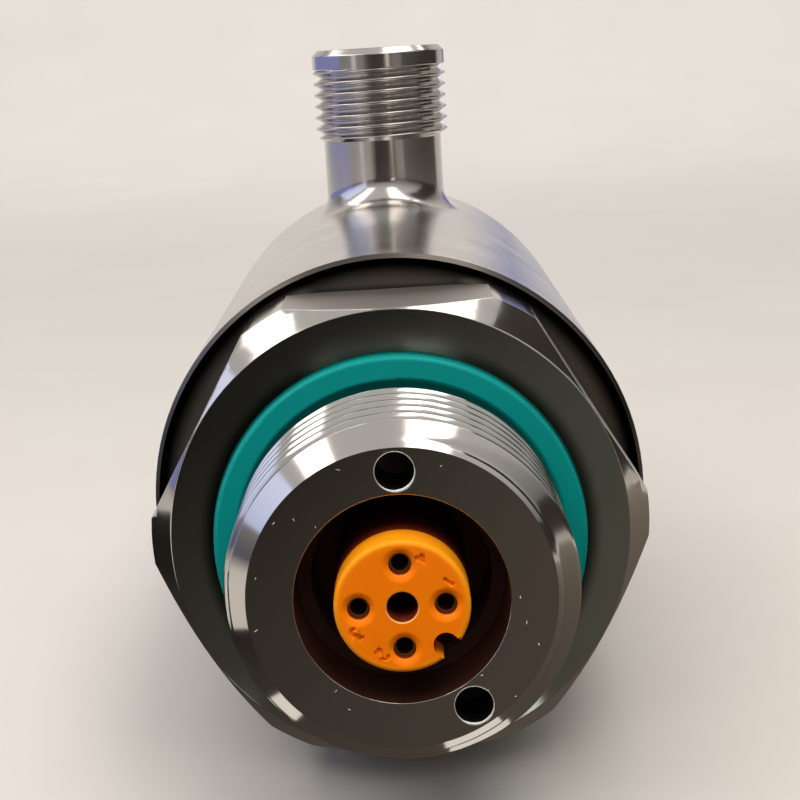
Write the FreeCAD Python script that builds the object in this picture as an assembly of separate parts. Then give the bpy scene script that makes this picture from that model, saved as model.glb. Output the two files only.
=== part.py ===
import FreeCAD, Part
import math
import os

# A compact temperature controller: a threaded process connection with a sensor socket in its nose,
# and a round housing that swivels on it, with a plug stub on its side and a slanted display head.
# The main axis is Y. The nose points to -Y, the plug stub to +Z, and the origin is on the axis,
# in the plane of the hexagon's sealing face. All sizes are in millimetres.

# Process thread and nose
thread_diameter = 20.955
thread_pitch = 1.814
thread_depth = 1.162
thread_grooves = 6
nose_length = 13.25
nose_chamfer_width = 1.44
nose_chamfer_depth = 1.14
thread_relief_depth = 1.28
thread_relief_width = 2.2
key_hole_diameter = 2.3
key_hole_depth = 4.0
key_hole_angles = (90.0, -60.0)

# Shares of the pitch that a thread's flat crest and flat root take
thread_crest_share = 0.16
thread_root_share = 0.16

# Hexagon
hex_across_flats = 30.0
hex_length = 8.9
hex_corner_height = 1.5
hex_face_margin = 0.05
hex_front_chamfer = 2.2
hex_rear_chamfer = 0.7

# Profile seal in the hexagon's face
seal_thread_gap = 0.12
seal_width = 1.46
seal_proud = 1.19
seal_groove_depth = 1.2
seal_bore_length = 0.4
seal_clearance = 0.03
seal_edge_round = 0.28

# Sensor socket
socket_mouth_step = 0.81
socket_mouth_depth = 4.8
socket_thread_minor = 10.92
insert_diameter = 7.86
insert_proud = 1.3
insert_edge_round = 0.3
insert_flange_overlap = 1.49
insert_flange_thickness = 2.2
insert_seat_depth = 9.25
insert_clearance = 0.05
contact_circle = 5.0
contact_bore = 1.3
contact_countersink = 1.74
contact_recess = 0.65
contact_clearance = 0.03
contact_tip_bore = 1.0
contact_tip_bore_depth = 5.0
contact_tail_diameter = 0.7
contact_tail_proud = 0.6
centre_hole_diameter = 1.8
centre_hole_depth = 6.0
key_groove_diameter = 1.46
key_groove_inset = 0.58
key_groove_length = 7.5
key_groove_angle = -45.0
socket_gasket_thickness = 0.8
socket_gasket_width = 0.65
lock_ring_thickness = 3.0
lock_ring_width = 2.15

# Socket board and the lead to the main board
socket_board_clearance = 0.1
socket_board_thickness = 1.2
board_hole_clearance = 0.05
board_seat_width = 0.9
board_seat_gap = 3.5
lead_socket_diameter = 3.8
lead_socket_height = 3.3
lead_diameter = 3.0
lead_turn_gap = 0.3

# Swivel journal
journal_shell = 4.65
journal_wall = 3.4
journal_clearance = 0.05
journal_end = 1.6
journal_length = 9.5
washer_thickness = 1.0
washer_width = 1.65
swivel_gap = 0.05
o_ring_section = 1.5
o_ring_groove_width = 1.9
o_ring_offset = 1.7
snap_ring_thickness = 1.1
snap_ring_width = 1.6
snap_ring_groove_depth = 0.5
snap_ring_mouth = 5.0
stop_pin_diameter = 1.8
stop_groove_width = 2.0
stop_groove_depth = 1.4
stop_groove_offset = 5.3
stop_wall_width = 1.2
stop_pin_tip_gap = 0.2

# Housing
body_diameter = 34.5
body_wall = 2.0
body_length = 47.2
body_rim_chamfer = 0.3
head_angle = 25.0

# Plug stub
plug_thread_diameter = 12.0
plug_thread_pitch = 1.0
plug_thread_depth = 0.613
plug_thread_grooves = 6
plug_waist_depth = 0.65
plug_height = 13.75
plug_thread_length = 7.7
plug_end_chamfer = 0.5
plug_waist_chamfer = 0.4
plug_flare_radius = 2.4
plug_head_gap = 4.75
plug_bore = 8.6
plug_bore_depth = 8.5
plug_insert_clearance = 0.05
plug_flange_overlap = 1.2
plug_flange_thickness = 1.55
plug_seat_thickness = 1.65
plug_gasket_thickness = 0.65
plug_pin_diameter = 1.0
plug_pin_clearance = 0.02
plug_pin_below_rim = 1.0
plug_pin_tip_round = 0.4
plug_key_diameter = 1.1
plug_key_height = 4.0
plug_board_margin = 0.5
plug_board_thickness = 1.0

# Main board and its carrier
carrier_wall = 1.1
carrier_clearance = 0.05
carrier_top = 1.0
carrier_front_gap = 0.1
carrier_head_gap = 1.6
ledge_width = 2.6
ledge_height = 2.0
main_board_level = -4.0
main_board_thickness = 1.4
main_board_side_gap = 0.32
main_board_offset = 14.55
main_board_head_gap = 13.15
chip_size = 7.0
chip_height = 1.3
chip_lane_gap = 0.5
chip_offset = 6.5
coil_diameter = 7.0
coil_height = 5.5
coil_bore = 2.0
coil_lane_gap = 1.5
coil_offset = 9.5
header_width = 7.0
header_length = 4.0
header_height = 4.6
header_offset = 2.0
flex_width = 3.0
flex_thickness = 0.4
flex_plug_gap = 14.2
flex_overlap = 2.5
flex_socket_width = 6.0
flex_socket_length = 2.4
flex_socket_height = 2.0
link_width = 7.0
link_height = 2.2
link_seat_length = 3.5
small_screw_shank = 1.2
small_screw_head = 2.2
small_screw_head_height = 0.9
small_screw_length = 3.0
small_screw_clearance = 0.03
carrier_screw_offset = 5.0

# Display head, measured in the slanted face: across, up, and along the outward normal
bezel_proud = 0.6
bezel_depth = 4.6
bezel_plate = 1.8
bezel_skirt = 1.65
bezel_clearance = 0.05
bezel_edge_round = 0.4
bezel_seat_width = 0.55
bezel_gasket_thickness = 0.6
display_side_gap = 5.75
display_gap = 0.4
window_overlap = (0.25, 0.3)
window_rebate = 1.0
window_thickness = 1.0
window_corner = 1.2
window_clearance = 0.05
display_board_depth = 7.0
display_board_thickness = 1.2
display_board_side_gap = 1.75
display_board_clearance = 0.65
display_board_plug_gap = 0.8
display_top_margin = 0.55
led_diameter = 1.5
led_clearance = 0.05
led_display_gap = 2.9
led_boss_gap = 5.7
button_diameter = 4.5
button_clearance = 0.1
button_proud = 0.6
button_flange = 0.55
button_flange_thickness = 0.8
button_flange_gap = 0.1
button_stem_diameter = 3.0
button_travel = 0.5
button_end_gap = 0.05
button_spacing = 7.5
button_rim_gap = 6.5
switch_size = 4.4
switch_body_height = 2.1
switch_plunger_diameter = 2.4
switch_plunger_height = 0.5
boss_diameter = 3.2
boss_rim_gap = 3.55
boss_button_gap = 5.91
boss_display_gap = 2.3

# Places along the main axis that follow from the sizes above
nose_face = -nose_length
insert_face = nose_face - insert_proud
insert_shoulder = nose_face + insert_seat_depth
flange_front = insert_shoulder + socket_gasket_thickness
flange_back = flange_front + insert_flange_thickness
lock_ring_back = flange_back + lock_ring_thickness
socket_board_front = lock_ring_back + board_seat_gap
socket_board_back = socket_board_front + socket_board_thickness
lead_socket_back = socket_board_back + lead_socket_height
lead_front = lead_socket_back + lead_turn_gap
body_front = hex_length + washer_thickness + swivel_gap
web_back = body_front + journal_length
snap_ring_front = web_back + swivel_gap
journal_back = snap_ring_front + snap_ring_thickness + journal_end
main_board_front = body_front + main_board_offset
main_board_top = main_board_level + main_board_thickness
main_board_length = body_length - main_board_offset - main_board_head_gap
head_centre = body_front + body_length
plug_axis = head_centre - plug_head_gap

# Diameters and radii that follow from the sizes above
nose_face_diameter = thread_diameter - 2 * nose_chamfer_width
thread_relief_diameter = thread_diameter - 2 * thread_relief_depth
hex_corner_diameter = hex_across_flats + 2 * hex_corner_height
hex_face_diameter = hex_across_flats - 2 * hex_face_margin
seal_inner_diameter = thread_diameter + 2 * seal_thread_gap
seal_outer_diameter = seal_inner_diameter + 2 * seal_width
seal_bore = thread_relief_diameter + 2 * seal_clearance
socket_mouth_diameter = socket_thread_minor + 2 * socket_mouth_step
insert_flange_diameter = socket_thread_minor + 2 * insert_flange_overlap
lock_ring_bore = insert_flange_diameter - 2 * lock_ring_width
key_groove_circle = insert_diameter - 2 * key_groove_inset
journal_diameter = body_diameter - 2 * journal_shell
journal_bore = journal_diameter - 2 * journal_wall
socket_board_diameter = journal_bore - 2 * socket_board_clearance
washer_inner_diameter = journal_diameter + 2 * journal_clearance
washer_outer_diameter = washer_inner_diameter + 2 * washer_width
plug_waist_diameter = plug_thread_diameter - 2 * plug_waist_depth
plug_flange_diameter = plug_bore + 2 * plug_flange_overlap
plug_board_diameter = plug_flange_diameter - 2 * plug_board_margin
body_radius = body_diameter / 2
body_bore_radius = body_radius - body_wall
journal_radius = journal_diameter / 2
plug_seat = body_radius - plug_seat_thickness
plug_top = body_radius + plug_height
plug_floor = plug_top - plug_bore_depth
plug_flange_top = plug_seat - plug_gasket_thickness
plug_flange_bottom = plug_flange_top - plug_flange_thickness
plug_board_bottom = plug_flange_bottom - plug_board_thickness
bezel_seat_radius = body_bore_radius + bezel_seat_width
bezel_radius = bezel_seat_radius - bezel_clearance
carrier_radius = body_bore_radius - carrier_clearance
trough_radius = carrier_radius - carrier_wall
main_board_half = math.sqrt(trough_radius ** 2 - main_board_level ** 2) - main_board_side_gap

# Depths in the display head, counted along its outward normal from the bezel's face
plate_back = -bezel_plate
bezel_back = -bezel_depth
head_seat = bezel_back - bezel_gasket_thickness
board_face = -display_board_depth
board_back = board_face - display_board_thickness
switch_top = board_face + switch_body_height + switch_plunger_height

# Layout of the display head's face, across from its middle and up from the main axis
head_slope = math.radians(head_angle)
bezel_half_height = bezel_radius / math.cos(head_slope)
plug_underside = plug_board_bottom - flex_thickness - display_board_plug_gap
board_top = (plug_underside + board_back * math.sin(head_slope)) / math.cos(head_slope)
display_top = board_top - display_top_margin
button_up = -(bezel_half_height - bezel_skirt - button_rim_gap)
boss_up = button_up + boss_button_gap
display_bottom = boss_up + boss_display_gap
display_block_height = display_top - display_bottom
display_centre = (display_top + display_bottom) / 2
display_width = 2 * (bezel_radius - display_side_gap)
window_opening = (display_width - 2 * window_overlap[0], display_block_height - 2 * window_overlap[1])
board_bottom = -(bezel_half_height - bezel_skirt - display_board_side_gap)
board_width = 2 * (bezel_radius - display_board_side_gap)
boss_across = bezel_radius - boss_rim_gap
led_across = boss_across - led_boss_gap
led_up = display_bottom - led_display_gap

# Reach of cutting tools past the part, and how an edge is found by its place
REACH = 4 * body_length
EDGE_TOLERANCE = 0.01
EDGE_SAMPLES = 9
# Share of a thread's depth by which a groove is cut past its crest
GROOVE_OVERRUN = 0.15
FULL_TURN = 360
Vector = FreeCAD.Vector
ALONG = Vector(0, 1, 0)
UP = Vector(0, 0, 1)


def solid_of_revolution(points, base, axis):
    """Turn a closed outline about an axis, with its volume outwards."""
    face = Part.Face(Part.makePolygon(points + points[:1]))
    shape = face.revolve(base, axis, FULL_TURN)
    if shape.Volume < 0:
        shape.reverse()
    return shape


def turned(outline):
    """Turned solid on the main axis from (radius, place along the axis) corners."""
    return solid_of_revolution([Vector(radius, along, 0) for radius, along in outline], Vector(), ALONG)


def turned_on_plug(outline):
    """Turned solid on the plug's axis from (radius, height) corners."""
    points = [Vector(radius, plug_axis, height) for radius, height in outline]
    return solid_of_revolution(points, Vector(0, plug_axis, 0), UP)


def groove_outlines(diameter, depth, pitch, count, middle):
    """Outlines of a thread's grooves, as rings at the thread's pitch with a crest at their middle."""
    root, outer = diameter / 2 - depth, diameter / 2 + depth * GROOVE_OVERRUN
    half_root = pitch * thread_root_share / 2
    half_mouth = pitch * (1 - thread_crest_share) / 2
    half_outer = half_mouth + (half_mouth - half_root) * GROOVE_OVERRUN
    outlines = []
    for index in range(count):
        along = middle + (index - (count - 1) / 2) * pitch
        outlines.append([
            (outer, along - half_outer),
            (root, along - half_root),
            (root, along + half_root),
            (outer, along + half_outer)])
    return outlines


def rod(diameter, start, end, x=0.0, z=0.0):
    """Round bar along the main axis."""
    return Part.makeCylinder(diameter / 2, end - start, Vector(x, start, z), ALONG)


def ring(outer, inner, start, end):
    """Flat ring on the main axis."""
    return rod(outer, start, end).cut(rod(inner, start, end))


def post(diameter, bottom, top, x=0.0, y=plug_axis):
    """Round bar along +Z."""
    return Part.makeCylinder(diameter / 2, top - bottom, Vector(x, y, bottom), UP)


def block(x_range, y_range, z_range):
    """Box between two corners."""
    low = Vector(x_range[0], y_range[0], z_range[0])
    return Part.makeBox(x_range[1] - x_range[0], y_range[1] - y_range[0], z_range[1] - z_range[0], low)


def polar(diameter, angle):
    """Place (x, z) on a circle about the main axis, seen from the nose with +X to the right."""
    turn = math.radians(angle)
    return diameter / 2 * math.cos(turn), diameter / 2 * math.sin(turn)


def front_circles(shape, along):
    """Circular edges of a turned shape in the plane at one place along the axis."""
    found = []
    for edge in shape.Edges:
        curve = edge.Curve
        if isinstance(curve, Part.Circle) and abs(curve.Center.y - along) < EDGE_TOLERANCE:
            found.append(edge)
    return found


def head_placement():
    """Placement of the display head: across to -X, up along the face, and out along its normal."""
    rise, run = math.sin(head_slope), math.cos(head_slope)
    return FreeCAD.Matrix(-1, 0, 0, 0, 0, rise, run, head_centre, 0, run, -rise, 0, 0, 0, 0, 1)


HEAD = head_placement()


def on_head(shape):
    """Move a shape from the display head's own frame to the part's frame."""
    return shape.transformed(HEAD)


def head_slab(low, high):
    """Everything between two depths of the display head."""
    size = 2 * REACH
    return on_head(Part.makeBox(size, size, high - low, Vector(-REACH, -REACH, low)))


def head_rod(diameter, low, high, place):
    """Round bar along the display head's normal."""
    return on_head(Part.makeCylinder(diameter / 2, high - low, Vector(place[0], place[1], low)))


def head_block(size, low, high, place):
    """Box standing on the display head's face plane."""
    corner = Vector(place[0] - size[0] / 2, place[1] - size[1] / 2, low)
    return on_head(Part.makeBox(size[0], size[1], high - low, corner))


def head_pane(size, low, high, place, corner):
    """Box in the display head with its four upright edges rounded."""
    start = Vector(place[0] - size[0] / 2, place[1] - size[1] / 2, low)
    box = Part.makeBox(size[0], size[1], high - low, start)
    upright = [edge for edge in box.Edges if abs(edge.tangentAt(edge.FirstParameter).z) > EDGE_TOLERANCE]
    return on_head(box.makeFillet(corner, upright))


def contact_places():
    """Places of contacts 1 to 4 on their circle: right, bottom, left and top, seen from the nose."""
    return [polar(contact_circle, angle) for angle in (0.0, -90.0, 180.0, 90.0)]


# Process connection

def hexagon():
    """Hexagon with one flat exactly on top, its corners turned down and both ends chamfered."""
    corner_radius = hex_across_flats / math.sqrt(3)
    corners = []
    for index in range(6):
        turn = math.radians(60 * index)
        corners.append(Vector(corner_radius * math.cos(turn), 0, corner_radius * math.sin(turn)))
    prism = Part.Face(Part.makePolygon(corners + corners[:1])).extrude(Vector(0, hex_length, 0))
    turned_radius = hex_corner_diameter / 2
    envelope = turned([
        (0, 0),
        (hex_face_diameter / 2, 0),
        (turned_radius, hex_front_chamfer),
        (turned_radius, hex_length - hex_rear_chamfer),
        (turned_radius - hex_rear_chamfer, hex_length),
        (0, hex_length)])
    return prism.common(envelope)


def journal_grooves():
    """Grooves round the journal: sealing ring, swivel stop with its wall left standing, snap ring."""
    o_ring_start = body_front + o_ring_offset
    seal_groove = ring(2 * body_radius, journal_diameter - 2 * o_ring_section,
                       o_ring_start, o_ring_start + o_ring_groove_width)
    stop_start = body_front + stop_groove_offset
    stop_groove = ring(2 * body_radius, journal_diameter - 2 * stop_groove_depth,
                       stop_start, stop_start + stop_groove_width)
    wall = block((-stop_wall_width / 2, stop_wall_width / 2),
                 (stop_start, stop_start + stop_groove_width), (0, journal_diameter))
    snap_groove = ring(2 * body_radius, journal_diameter - 2 * snap_ring_groove_depth,
                       snap_ring_front, snap_ring_front + snap_ring_thickness)
    return [seal_groove, stop_groove.cut(wall), snap_groove]


def process_connection():
    """Threaded nose, hexagon and swivel journal turned from one bar, with the socket bored through it.

    The thread is drawn as plain rings.
    """
    thread_radius = thread_diameter / 2
    thread_middle = (nose_face + nose_chamfer_depth - thread_relief_width) / 2
    relief_radius = thread_relief_diameter / 2
    nose = turned([
        (0, nose_face),
        (nose_face_diameter / 2, nose_face),
        (thread_radius, nose_face + nose_chamfer_depth),
        (thread_radius, -thread_relief_width),
        (relief_radius, -thread_relief_width + thread_radius - relief_radius),
        (relief_radius, 0),
        (relief_radius, hex_length / 2),
        (0, hex_length / 2)])
    grooves = groove_outlines(thread_diameter, thread_depth, thread_pitch, thread_grooves, thread_middle)
    nose = nose.cut([turned(outline) for outline in grooves])
    shape = nose.fuse(hexagon()).fuse(rod(journal_diameter, hex_length / 2, journal_back))
    cuts = [
        rod(socket_mouth_diameter, nose_face, nose_face + socket_mouth_depth),
        rod(socket_thread_minor, nose_face, insert_shoulder),
        rod(insert_flange_diameter + 2 * insert_clearance, insert_shoulder, lock_ring_back),
        rod(journal_bore - 2 * board_seat_width, lock_ring_back, socket_board_front),
        rod(journal_bore, socket_board_front, journal_back),
        ring(seal_outer_diameter + 2 * seal_clearance, thread_relief_diameter, 0, seal_groove_depth)]
    hole_circle = (socket_mouth_diameter + nose_face_diameter) / 2
    for angle in key_hole_angles:
        x, z = polar(hole_circle, angle)
        cuts.append(rod(key_hole_diameter, nose_face, nose_face + key_hole_depth, x, z))
    return shape.cut(cuts + journal_grooves()).removeSplitter()


def process_seal():
    """Profile ring that stands proud of the sealing face and slopes in to the thread's relief."""
    shape = turned([
        (seal_bore / 2, seal_groove_depth - seal_bore_length),
        (seal_inner_diameter / 2, -seal_proud),
        (seal_outer_diameter / 2, -seal_proud),
        (seal_outer_diameter / 2, seal_groove_depth),
        (seal_bore / 2, seal_groove_depth)])
    return shape.makeFillet(seal_edge_round, front_circles(shape, -seal_proud))


def socket_insert():
    """Contact carrier with four countersunk contact bores, a blind centre hole and a key groove."""
    body = rod(insert_diameter, insert_face, flange_back)
    body = body.makeFillet(insert_edge_round, front_circles(body, insert_face))
    shape = body.fuse(rod(insert_flange_diameter, flange_front, flange_back))
    cuts = [rod(centre_hole_diameter, insert_face, insert_face + centre_hole_depth)]
    sink_depth = (contact_countersink - contact_bore) / 2
    for x, z in contact_places():
        sink = Part.makeCone(contact_countersink / 2, contact_bore / 2, sink_depth,
                             Vector(x, insert_face, z), ALONG)
        cuts += [rod(contact_bore, insert_face, flange_back, x, z), sink]
    x, z = polar(key_groove_circle, 0)
    groove_end = insert_face + key_groove_length
    groove = rod(key_groove_diameter, insert_face, groove_end, x, z)
    half_width = key_groove_diameter / 2
    groove = groove.fuse(block((x, insert_diameter), (insert_face, groove_end), (-half_width, half_width)))
    groove.rotate(Vector(), ALONG, -key_groove_angle)
    return shape.cut(cuts + [groove]).removeSplitter()


def contact(place):
    """Sleeve contact: bored at the front, with a thin tail through the socket board."""
    x, z = place
    front = insert_face + contact_recess
    sleeve = rod(contact_bore - 2 * contact_clearance, front, flange_back, x, z)
    tail = rod(contact_tail_diameter, flange_back, socket_board_back + contact_tail_proud, x, z)
    return sleeve.fuse(tail).cut(rod(contact_tip_bore, front, front + contact_tip_bore_depth, x, z))


def socket_gasket():
    """Flat ring between the carrier's flange and its shoulder."""
    inner = insert_flange_diameter - 2 * socket_gasket_width
    return ring(insert_flange_diameter, inner, insert_shoulder, flange_front)


def socket_board():
    """Round board on its seat in the journal, pierced by the contact tails."""
    shape = rod(socket_board_diameter, socket_board_front, socket_board_back)
    hole = contact_tail_diameter + 2 * board_hole_clearance
    return shape.cut([rod(hole, socket_board_front, socket_board_back, x, z) for x, z in contact_places()])


def swivel_o_ring():
    """Sealing ring in the journal's groove."""
    middle = body_front + o_ring_offset + o_ring_groove_width / 2
    half_section = o_ring_section / 2
    return Part.makeTorus(journal_radius - half_section, half_section, Vector(0, middle, 0), ALONG)


def snap_ring():
    """Open spring ring in the journal's last groove."""
    inner = journal_diameter - 2 * snap_ring_groove_depth
    back = snap_ring_front + snap_ring_thickness
    shape = ring(inner + 2 * snap_ring_width, inner, snap_ring_front, back)
    half_mouth = snap_ring_mouth / 2
    return shape.cut(block((0, journal_diameter), (snap_ring_front, back), (-half_mouth, half_mouth)))


# Housing and plug

def plug_stub():
    """Outside of the plug stub: waist, threaded length drawn as plain rings, and chamfered end."""
    thread_bottom = plug_top - plug_thread_length
    thread_middle = (thread_bottom + plug_top - plug_end_chamfer) / 2
    waist_radius, thread_radius = plug_waist_diameter / 2, plug_thread_diameter / 2
    stub = turned_on_plug([
        (0, 0),
        (waist_radius, 0),
        (waist_radius, thread_bottom - plug_waist_chamfer),
        (thread_radius, thread_bottom),
        (thread_radius, plug_top - plug_end_chamfer),
        (thread_radius - plug_end_chamfer, plug_top),
        (0, plug_top)])
    grooves = groove_outlines(plug_thread_diameter, plug_thread_depth, plug_thread_pitch,
                              plug_thread_grooves, thread_middle)
    return stub.cut([turned_on_plug(outline) for outline in grooves])


def flared(shape):
    """Round the closed edge where the plug stub leaves the round body."""
    waist_radius = plug_waist_diameter / 2
    edges = []
    for edge in shape.Edges:
        points = edge.discretize(EDGE_SAMPLES)
        off_waist = max(abs(math.hypot(point.x, point.y - plug_axis) - waist_radius) for point in points)
        off_body = max(abs(math.hypot(point.x, point.z) - body_radius) for point in points)
        if max(off_waist, off_body) < EDGE_TOLERANCE:
            edges.append(edge)
    return shape.makeFillet(plug_flare_radius, edges)


def housing():
    """Round body with a web for the journal, a slanted open end and the plug stub on its side."""
    tube = turned([
        (0, body_front),
        (body_radius - body_rim_chamfer, body_front),
        (body_radius, body_front + body_rim_chamfer),
        (body_radius, head_centre + body_diameter),
        (0, head_centre + body_diameter)])
    shape = tube.common(head_slab(-REACH, -bezel_proud)).fuse(plug_stub()).removeSplitter()
    shape = flared(shape)
    seat = rod(2 * bezel_seat_radius, web_back, head_centre + body_diameter)
    pin_height = body_front + stop_groove_offset + stop_groove_width / 2
    cuts = [
        rod(journal_diameter + 2 * journal_clearance, body_front, web_back),
        rod(2 * body_bore_radius, web_back, head_centre + body_diameter),
        seat.common(head_slab(head_seat, REACH)),
        post(plug_flange_diameter + 2 * plug_insert_clearance, 0, plug_seat),
        post(plug_bore, 0, plug_top),
        post(stop_pin_diameter, -body_diameter, 0, y=pin_height)]
    return shape.cut(cuts).removeSplitter()


def stop_pin():
    """Radial pin pressed through the housing's web from below, into the journal's stop groove."""
    along = body_front + stop_groove_offset + stop_groove_width / 2
    tip = journal_radius - stop_groove_depth + stop_pin_tip_gap
    shape = post(stop_pin_diameter, -body_diameter, -tip, y=along)
    return shape.common(rod(body_diameter, body_front, web_back))


def plug_insert():
    """Pin carrier of the plug, with a flange inside the housing and a key rib in its open end."""
    shaft = post(plug_bore - 2 * plug_insert_clearance, plug_flange_bottom, plug_floor)
    flange = post(plug_flange_diameter, plug_flange_bottom, plug_flange_top)
    rib = post(plug_key_diameter, plug_floor, plug_floor + plug_key_height, y=plug_axis + plug_bore / 2)
    rib = rib.common(post(plug_bore - 2 * plug_insert_clearance, plug_floor, plug_floor + plug_key_height))
    hole = plug_pin_diameter + 2 * plug_pin_clearance
    cuts = [post(hole, plug_flange_bottom, plug_floor, x, plug_axis + y) for x, y in plug_pin_places()]
    return shaft.fuse(flange).fuse(rib).cut(cuts).removeSplitter()


def plug_pin_places():
    """Places of the plug's pins about its axis, turned so that the key rib lies between two pins."""
    return [polar(contact_circle, angle) for angle in (45.0, 135.0, 225.0, 315.0)]


def plug_pin(place):
    """Round pin with a domed tip, from the plug board to just below the stub's rim."""
    radius, tip = plug_pin_diameter / 2, plug_top - plug_pin_below_rim
    shoulder, flat = tip - plug_pin_tip_round, radius - plug_pin_tip_round
    diagonal = plug_pin_tip_round * math.sqrt(0.5)
    corners = [Vector(flat, 0, tip), Vector(0, 0, tip), Vector(0, 0, plug_board_bottom),
               Vector(radius, 0, plug_board_bottom), Vector(radius, 0, shoulder)]
    edges = [Part.makeLine(start, end) for start, end in zip(corners, corners[1:])]
    round_middle = Vector(flat + diagonal, 0, shoulder + diagonal)
    edges.append(Part.Arc(corners[-1], round_middle, corners[0]).toShape())
    shape = Part.Face(Part.Wire(edges)).revolve(Vector(), UP, FULL_TURN)
    if shape.Volume < 0:
        shape.reverse()
    shape.translate(Vector(place[0], plug_axis + place[1], 0))
    return shape


def plug_gasket():
    """Flat ring between the plug insert's flange and its seat in the housing."""
    shape = post(plug_flange_diameter, plug_flange_top, plug_seat)
    return shape.cut(post(plug_bore, plug_flange_top, plug_seat))


def plug_board():
    """Small round board under the plug insert, pierced by the pins."""
    shape = post(plug_board_diameter, plug_board_bottom, plug_flange_bottom)
    hole = plug_pin_diameter + 2 * plug_pin_clearance
    holes = [post(hole, plug_board_bottom, plug_flange_bottom, x, plug_axis + y)
             for x, y in plug_pin_places()]
    return shape.cut(holes)


# Main board

flex_front = plug_axis - flex_plug_gap
flex_back = flex_front + flex_thickness
flex_top = plug_board_bottom
flex_socket_top = main_board_top + flex_socket_height


def board_carrier():
    """Trough that lines the lower half of the body, with a ledge for each long edge of the board."""
    front, back = journal_back + carrier_front_gap, head_centre
    wall = ring(2 * carrier_radius, 2 * trough_radius, front, back)
    wall = wall.common(block((-REACH, REACH), (front, back), (-REACH, carrier_top)))
    shape = wall
    half_board = main_board_half
    ledge_y = (main_board_front, main_board_front + main_board_length)
    bar = rod(2 * carrier_radius, front, back)
    for side in (-1, 1):
        spans = sorted((side * (half_board - ledge_width), side * carrier_radius))
        ledge = block(spans, ledge_y, (main_board_level - ledge_height, main_board_level))
        shape = shape.fuse(ledge.common(bar))
    screw_hole = small_screw_shank + 2 * small_screw_clearance
    holes = []
    for x, y in carrier_screw_places():
        holes.append(post(screw_hole, main_board_level - ledge_height, main_board_level, x, y))
    return shape.cut(holes).common(head_slab(-REACH, board_back - carrier_head_gap)).removeSplitter()


def carrier_screw_places():
    """Places (x, y) of the two screws that hold the main board on the carrier's ledges."""
    x = main_board_half - ledge_width / 2
    y = main_board_front + carrier_screw_offset
    return [(-x, y), (x, y)]


def main_board():
    """Main circuit board on the carrier's ledges."""
    half = main_board_half
    ends = (main_board_front, main_board_front + main_board_length)
    shape = block((-half, half), ends, (main_board_level, main_board_top))
    hole = small_screw_shank + 2 * small_screw_clearance
    return shape.cut([post(hole, main_board_level, main_board_top, x, y) for x, y in carrier_screw_places()])


def carrier_screw(place):
    """Small pan-head screw through the main board into a ledge."""
    x, y = place
    shank = post(small_screw_shank, main_board_top - small_screw_length, main_board_top, x, y)
    head = post(small_screw_head, main_board_top, main_board_top + small_screw_head_height, x, y)
    return shank.fuse(head)


def controller_chip():
    """Square processor package on the main board."""
    x = -flex_socket_width / 2 - chip_lane_gap - chip_size
    y = main_board_front + chip_offset
    return block((x, x + chip_size), (y, y + chip_size), (main_board_top, main_board_top + chip_height))


def power_coil():
    """Round choke of the power supply on the main board."""
    x = flex_socket_width / 2 + coil_lane_gap + coil_diameter / 2
    y = main_board_front + coil_offset
    top = main_board_top + coil_height
    return post(coil_diameter, main_board_top, top, x, y).cut(post(coil_bore, main_board_top, top, x, y))


def lead_header():
    """Connector on the main board that the sensor lead ends in."""
    front = main_board_front + header_offset
    return block((-header_width / 2, header_width / 2), (front, front + header_length),
                 (main_board_top, main_board_top + header_height))


def sensor_lead():
    """Bundle of wires on the axis, from just behind the socket's connector to the main board."""
    return rod(lead_diameter, lead_front, main_board_front + header_offset)


def flex_socket():
    """Connector on the main board that the plug's flexible strip ends in."""
    middle = (flex_front + flex_back) / 2
    half_length = flex_socket_length / 2
    return block((-flex_socket_width / 2, flex_socket_width / 2),
                 (middle - half_length, middle + half_length), (main_board_top, flex_socket_top))


def plug_flex():
    """Flexible strip down from the plug board to the main board, with one square bend."""
    half = flex_width / 2
    upright = block((-half, half), (flex_front, flex_back), (flex_socket_top, flex_top))
    flex_end = plug_axis + flex_overlap
    level = block((-half, half), (flex_front, flex_end), (flex_top - flex_thickness, flex_top))
    return upright.fuse(level).removeSplitter()


def board_link():
    """Connector block between the main board's top and the back of the display board."""
    back = main_board_front + main_board_length
    shape = block((-link_width / 2, link_width / 2), (back - link_seat_length, head_centre),
                  (main_board_top, main_board_top + link_height))
    return shape.common(head_slab(-REACH, board_back))


# Display head

def button_places():
    """Places of the three buttons in the display head's face."""
    return [(across, button_up) for across in (-button_spacing, 0.0, button_spacing)]


def boss_places():
    """Places of the two screw bosses behind the bezel."""
    return [(-boss_across, boss_up), (boss_across, boss_up)]


def led_places():
    """Places of the two status lamps."""
    return [(-led_across, led_up), (led_across, led_up)]


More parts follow.
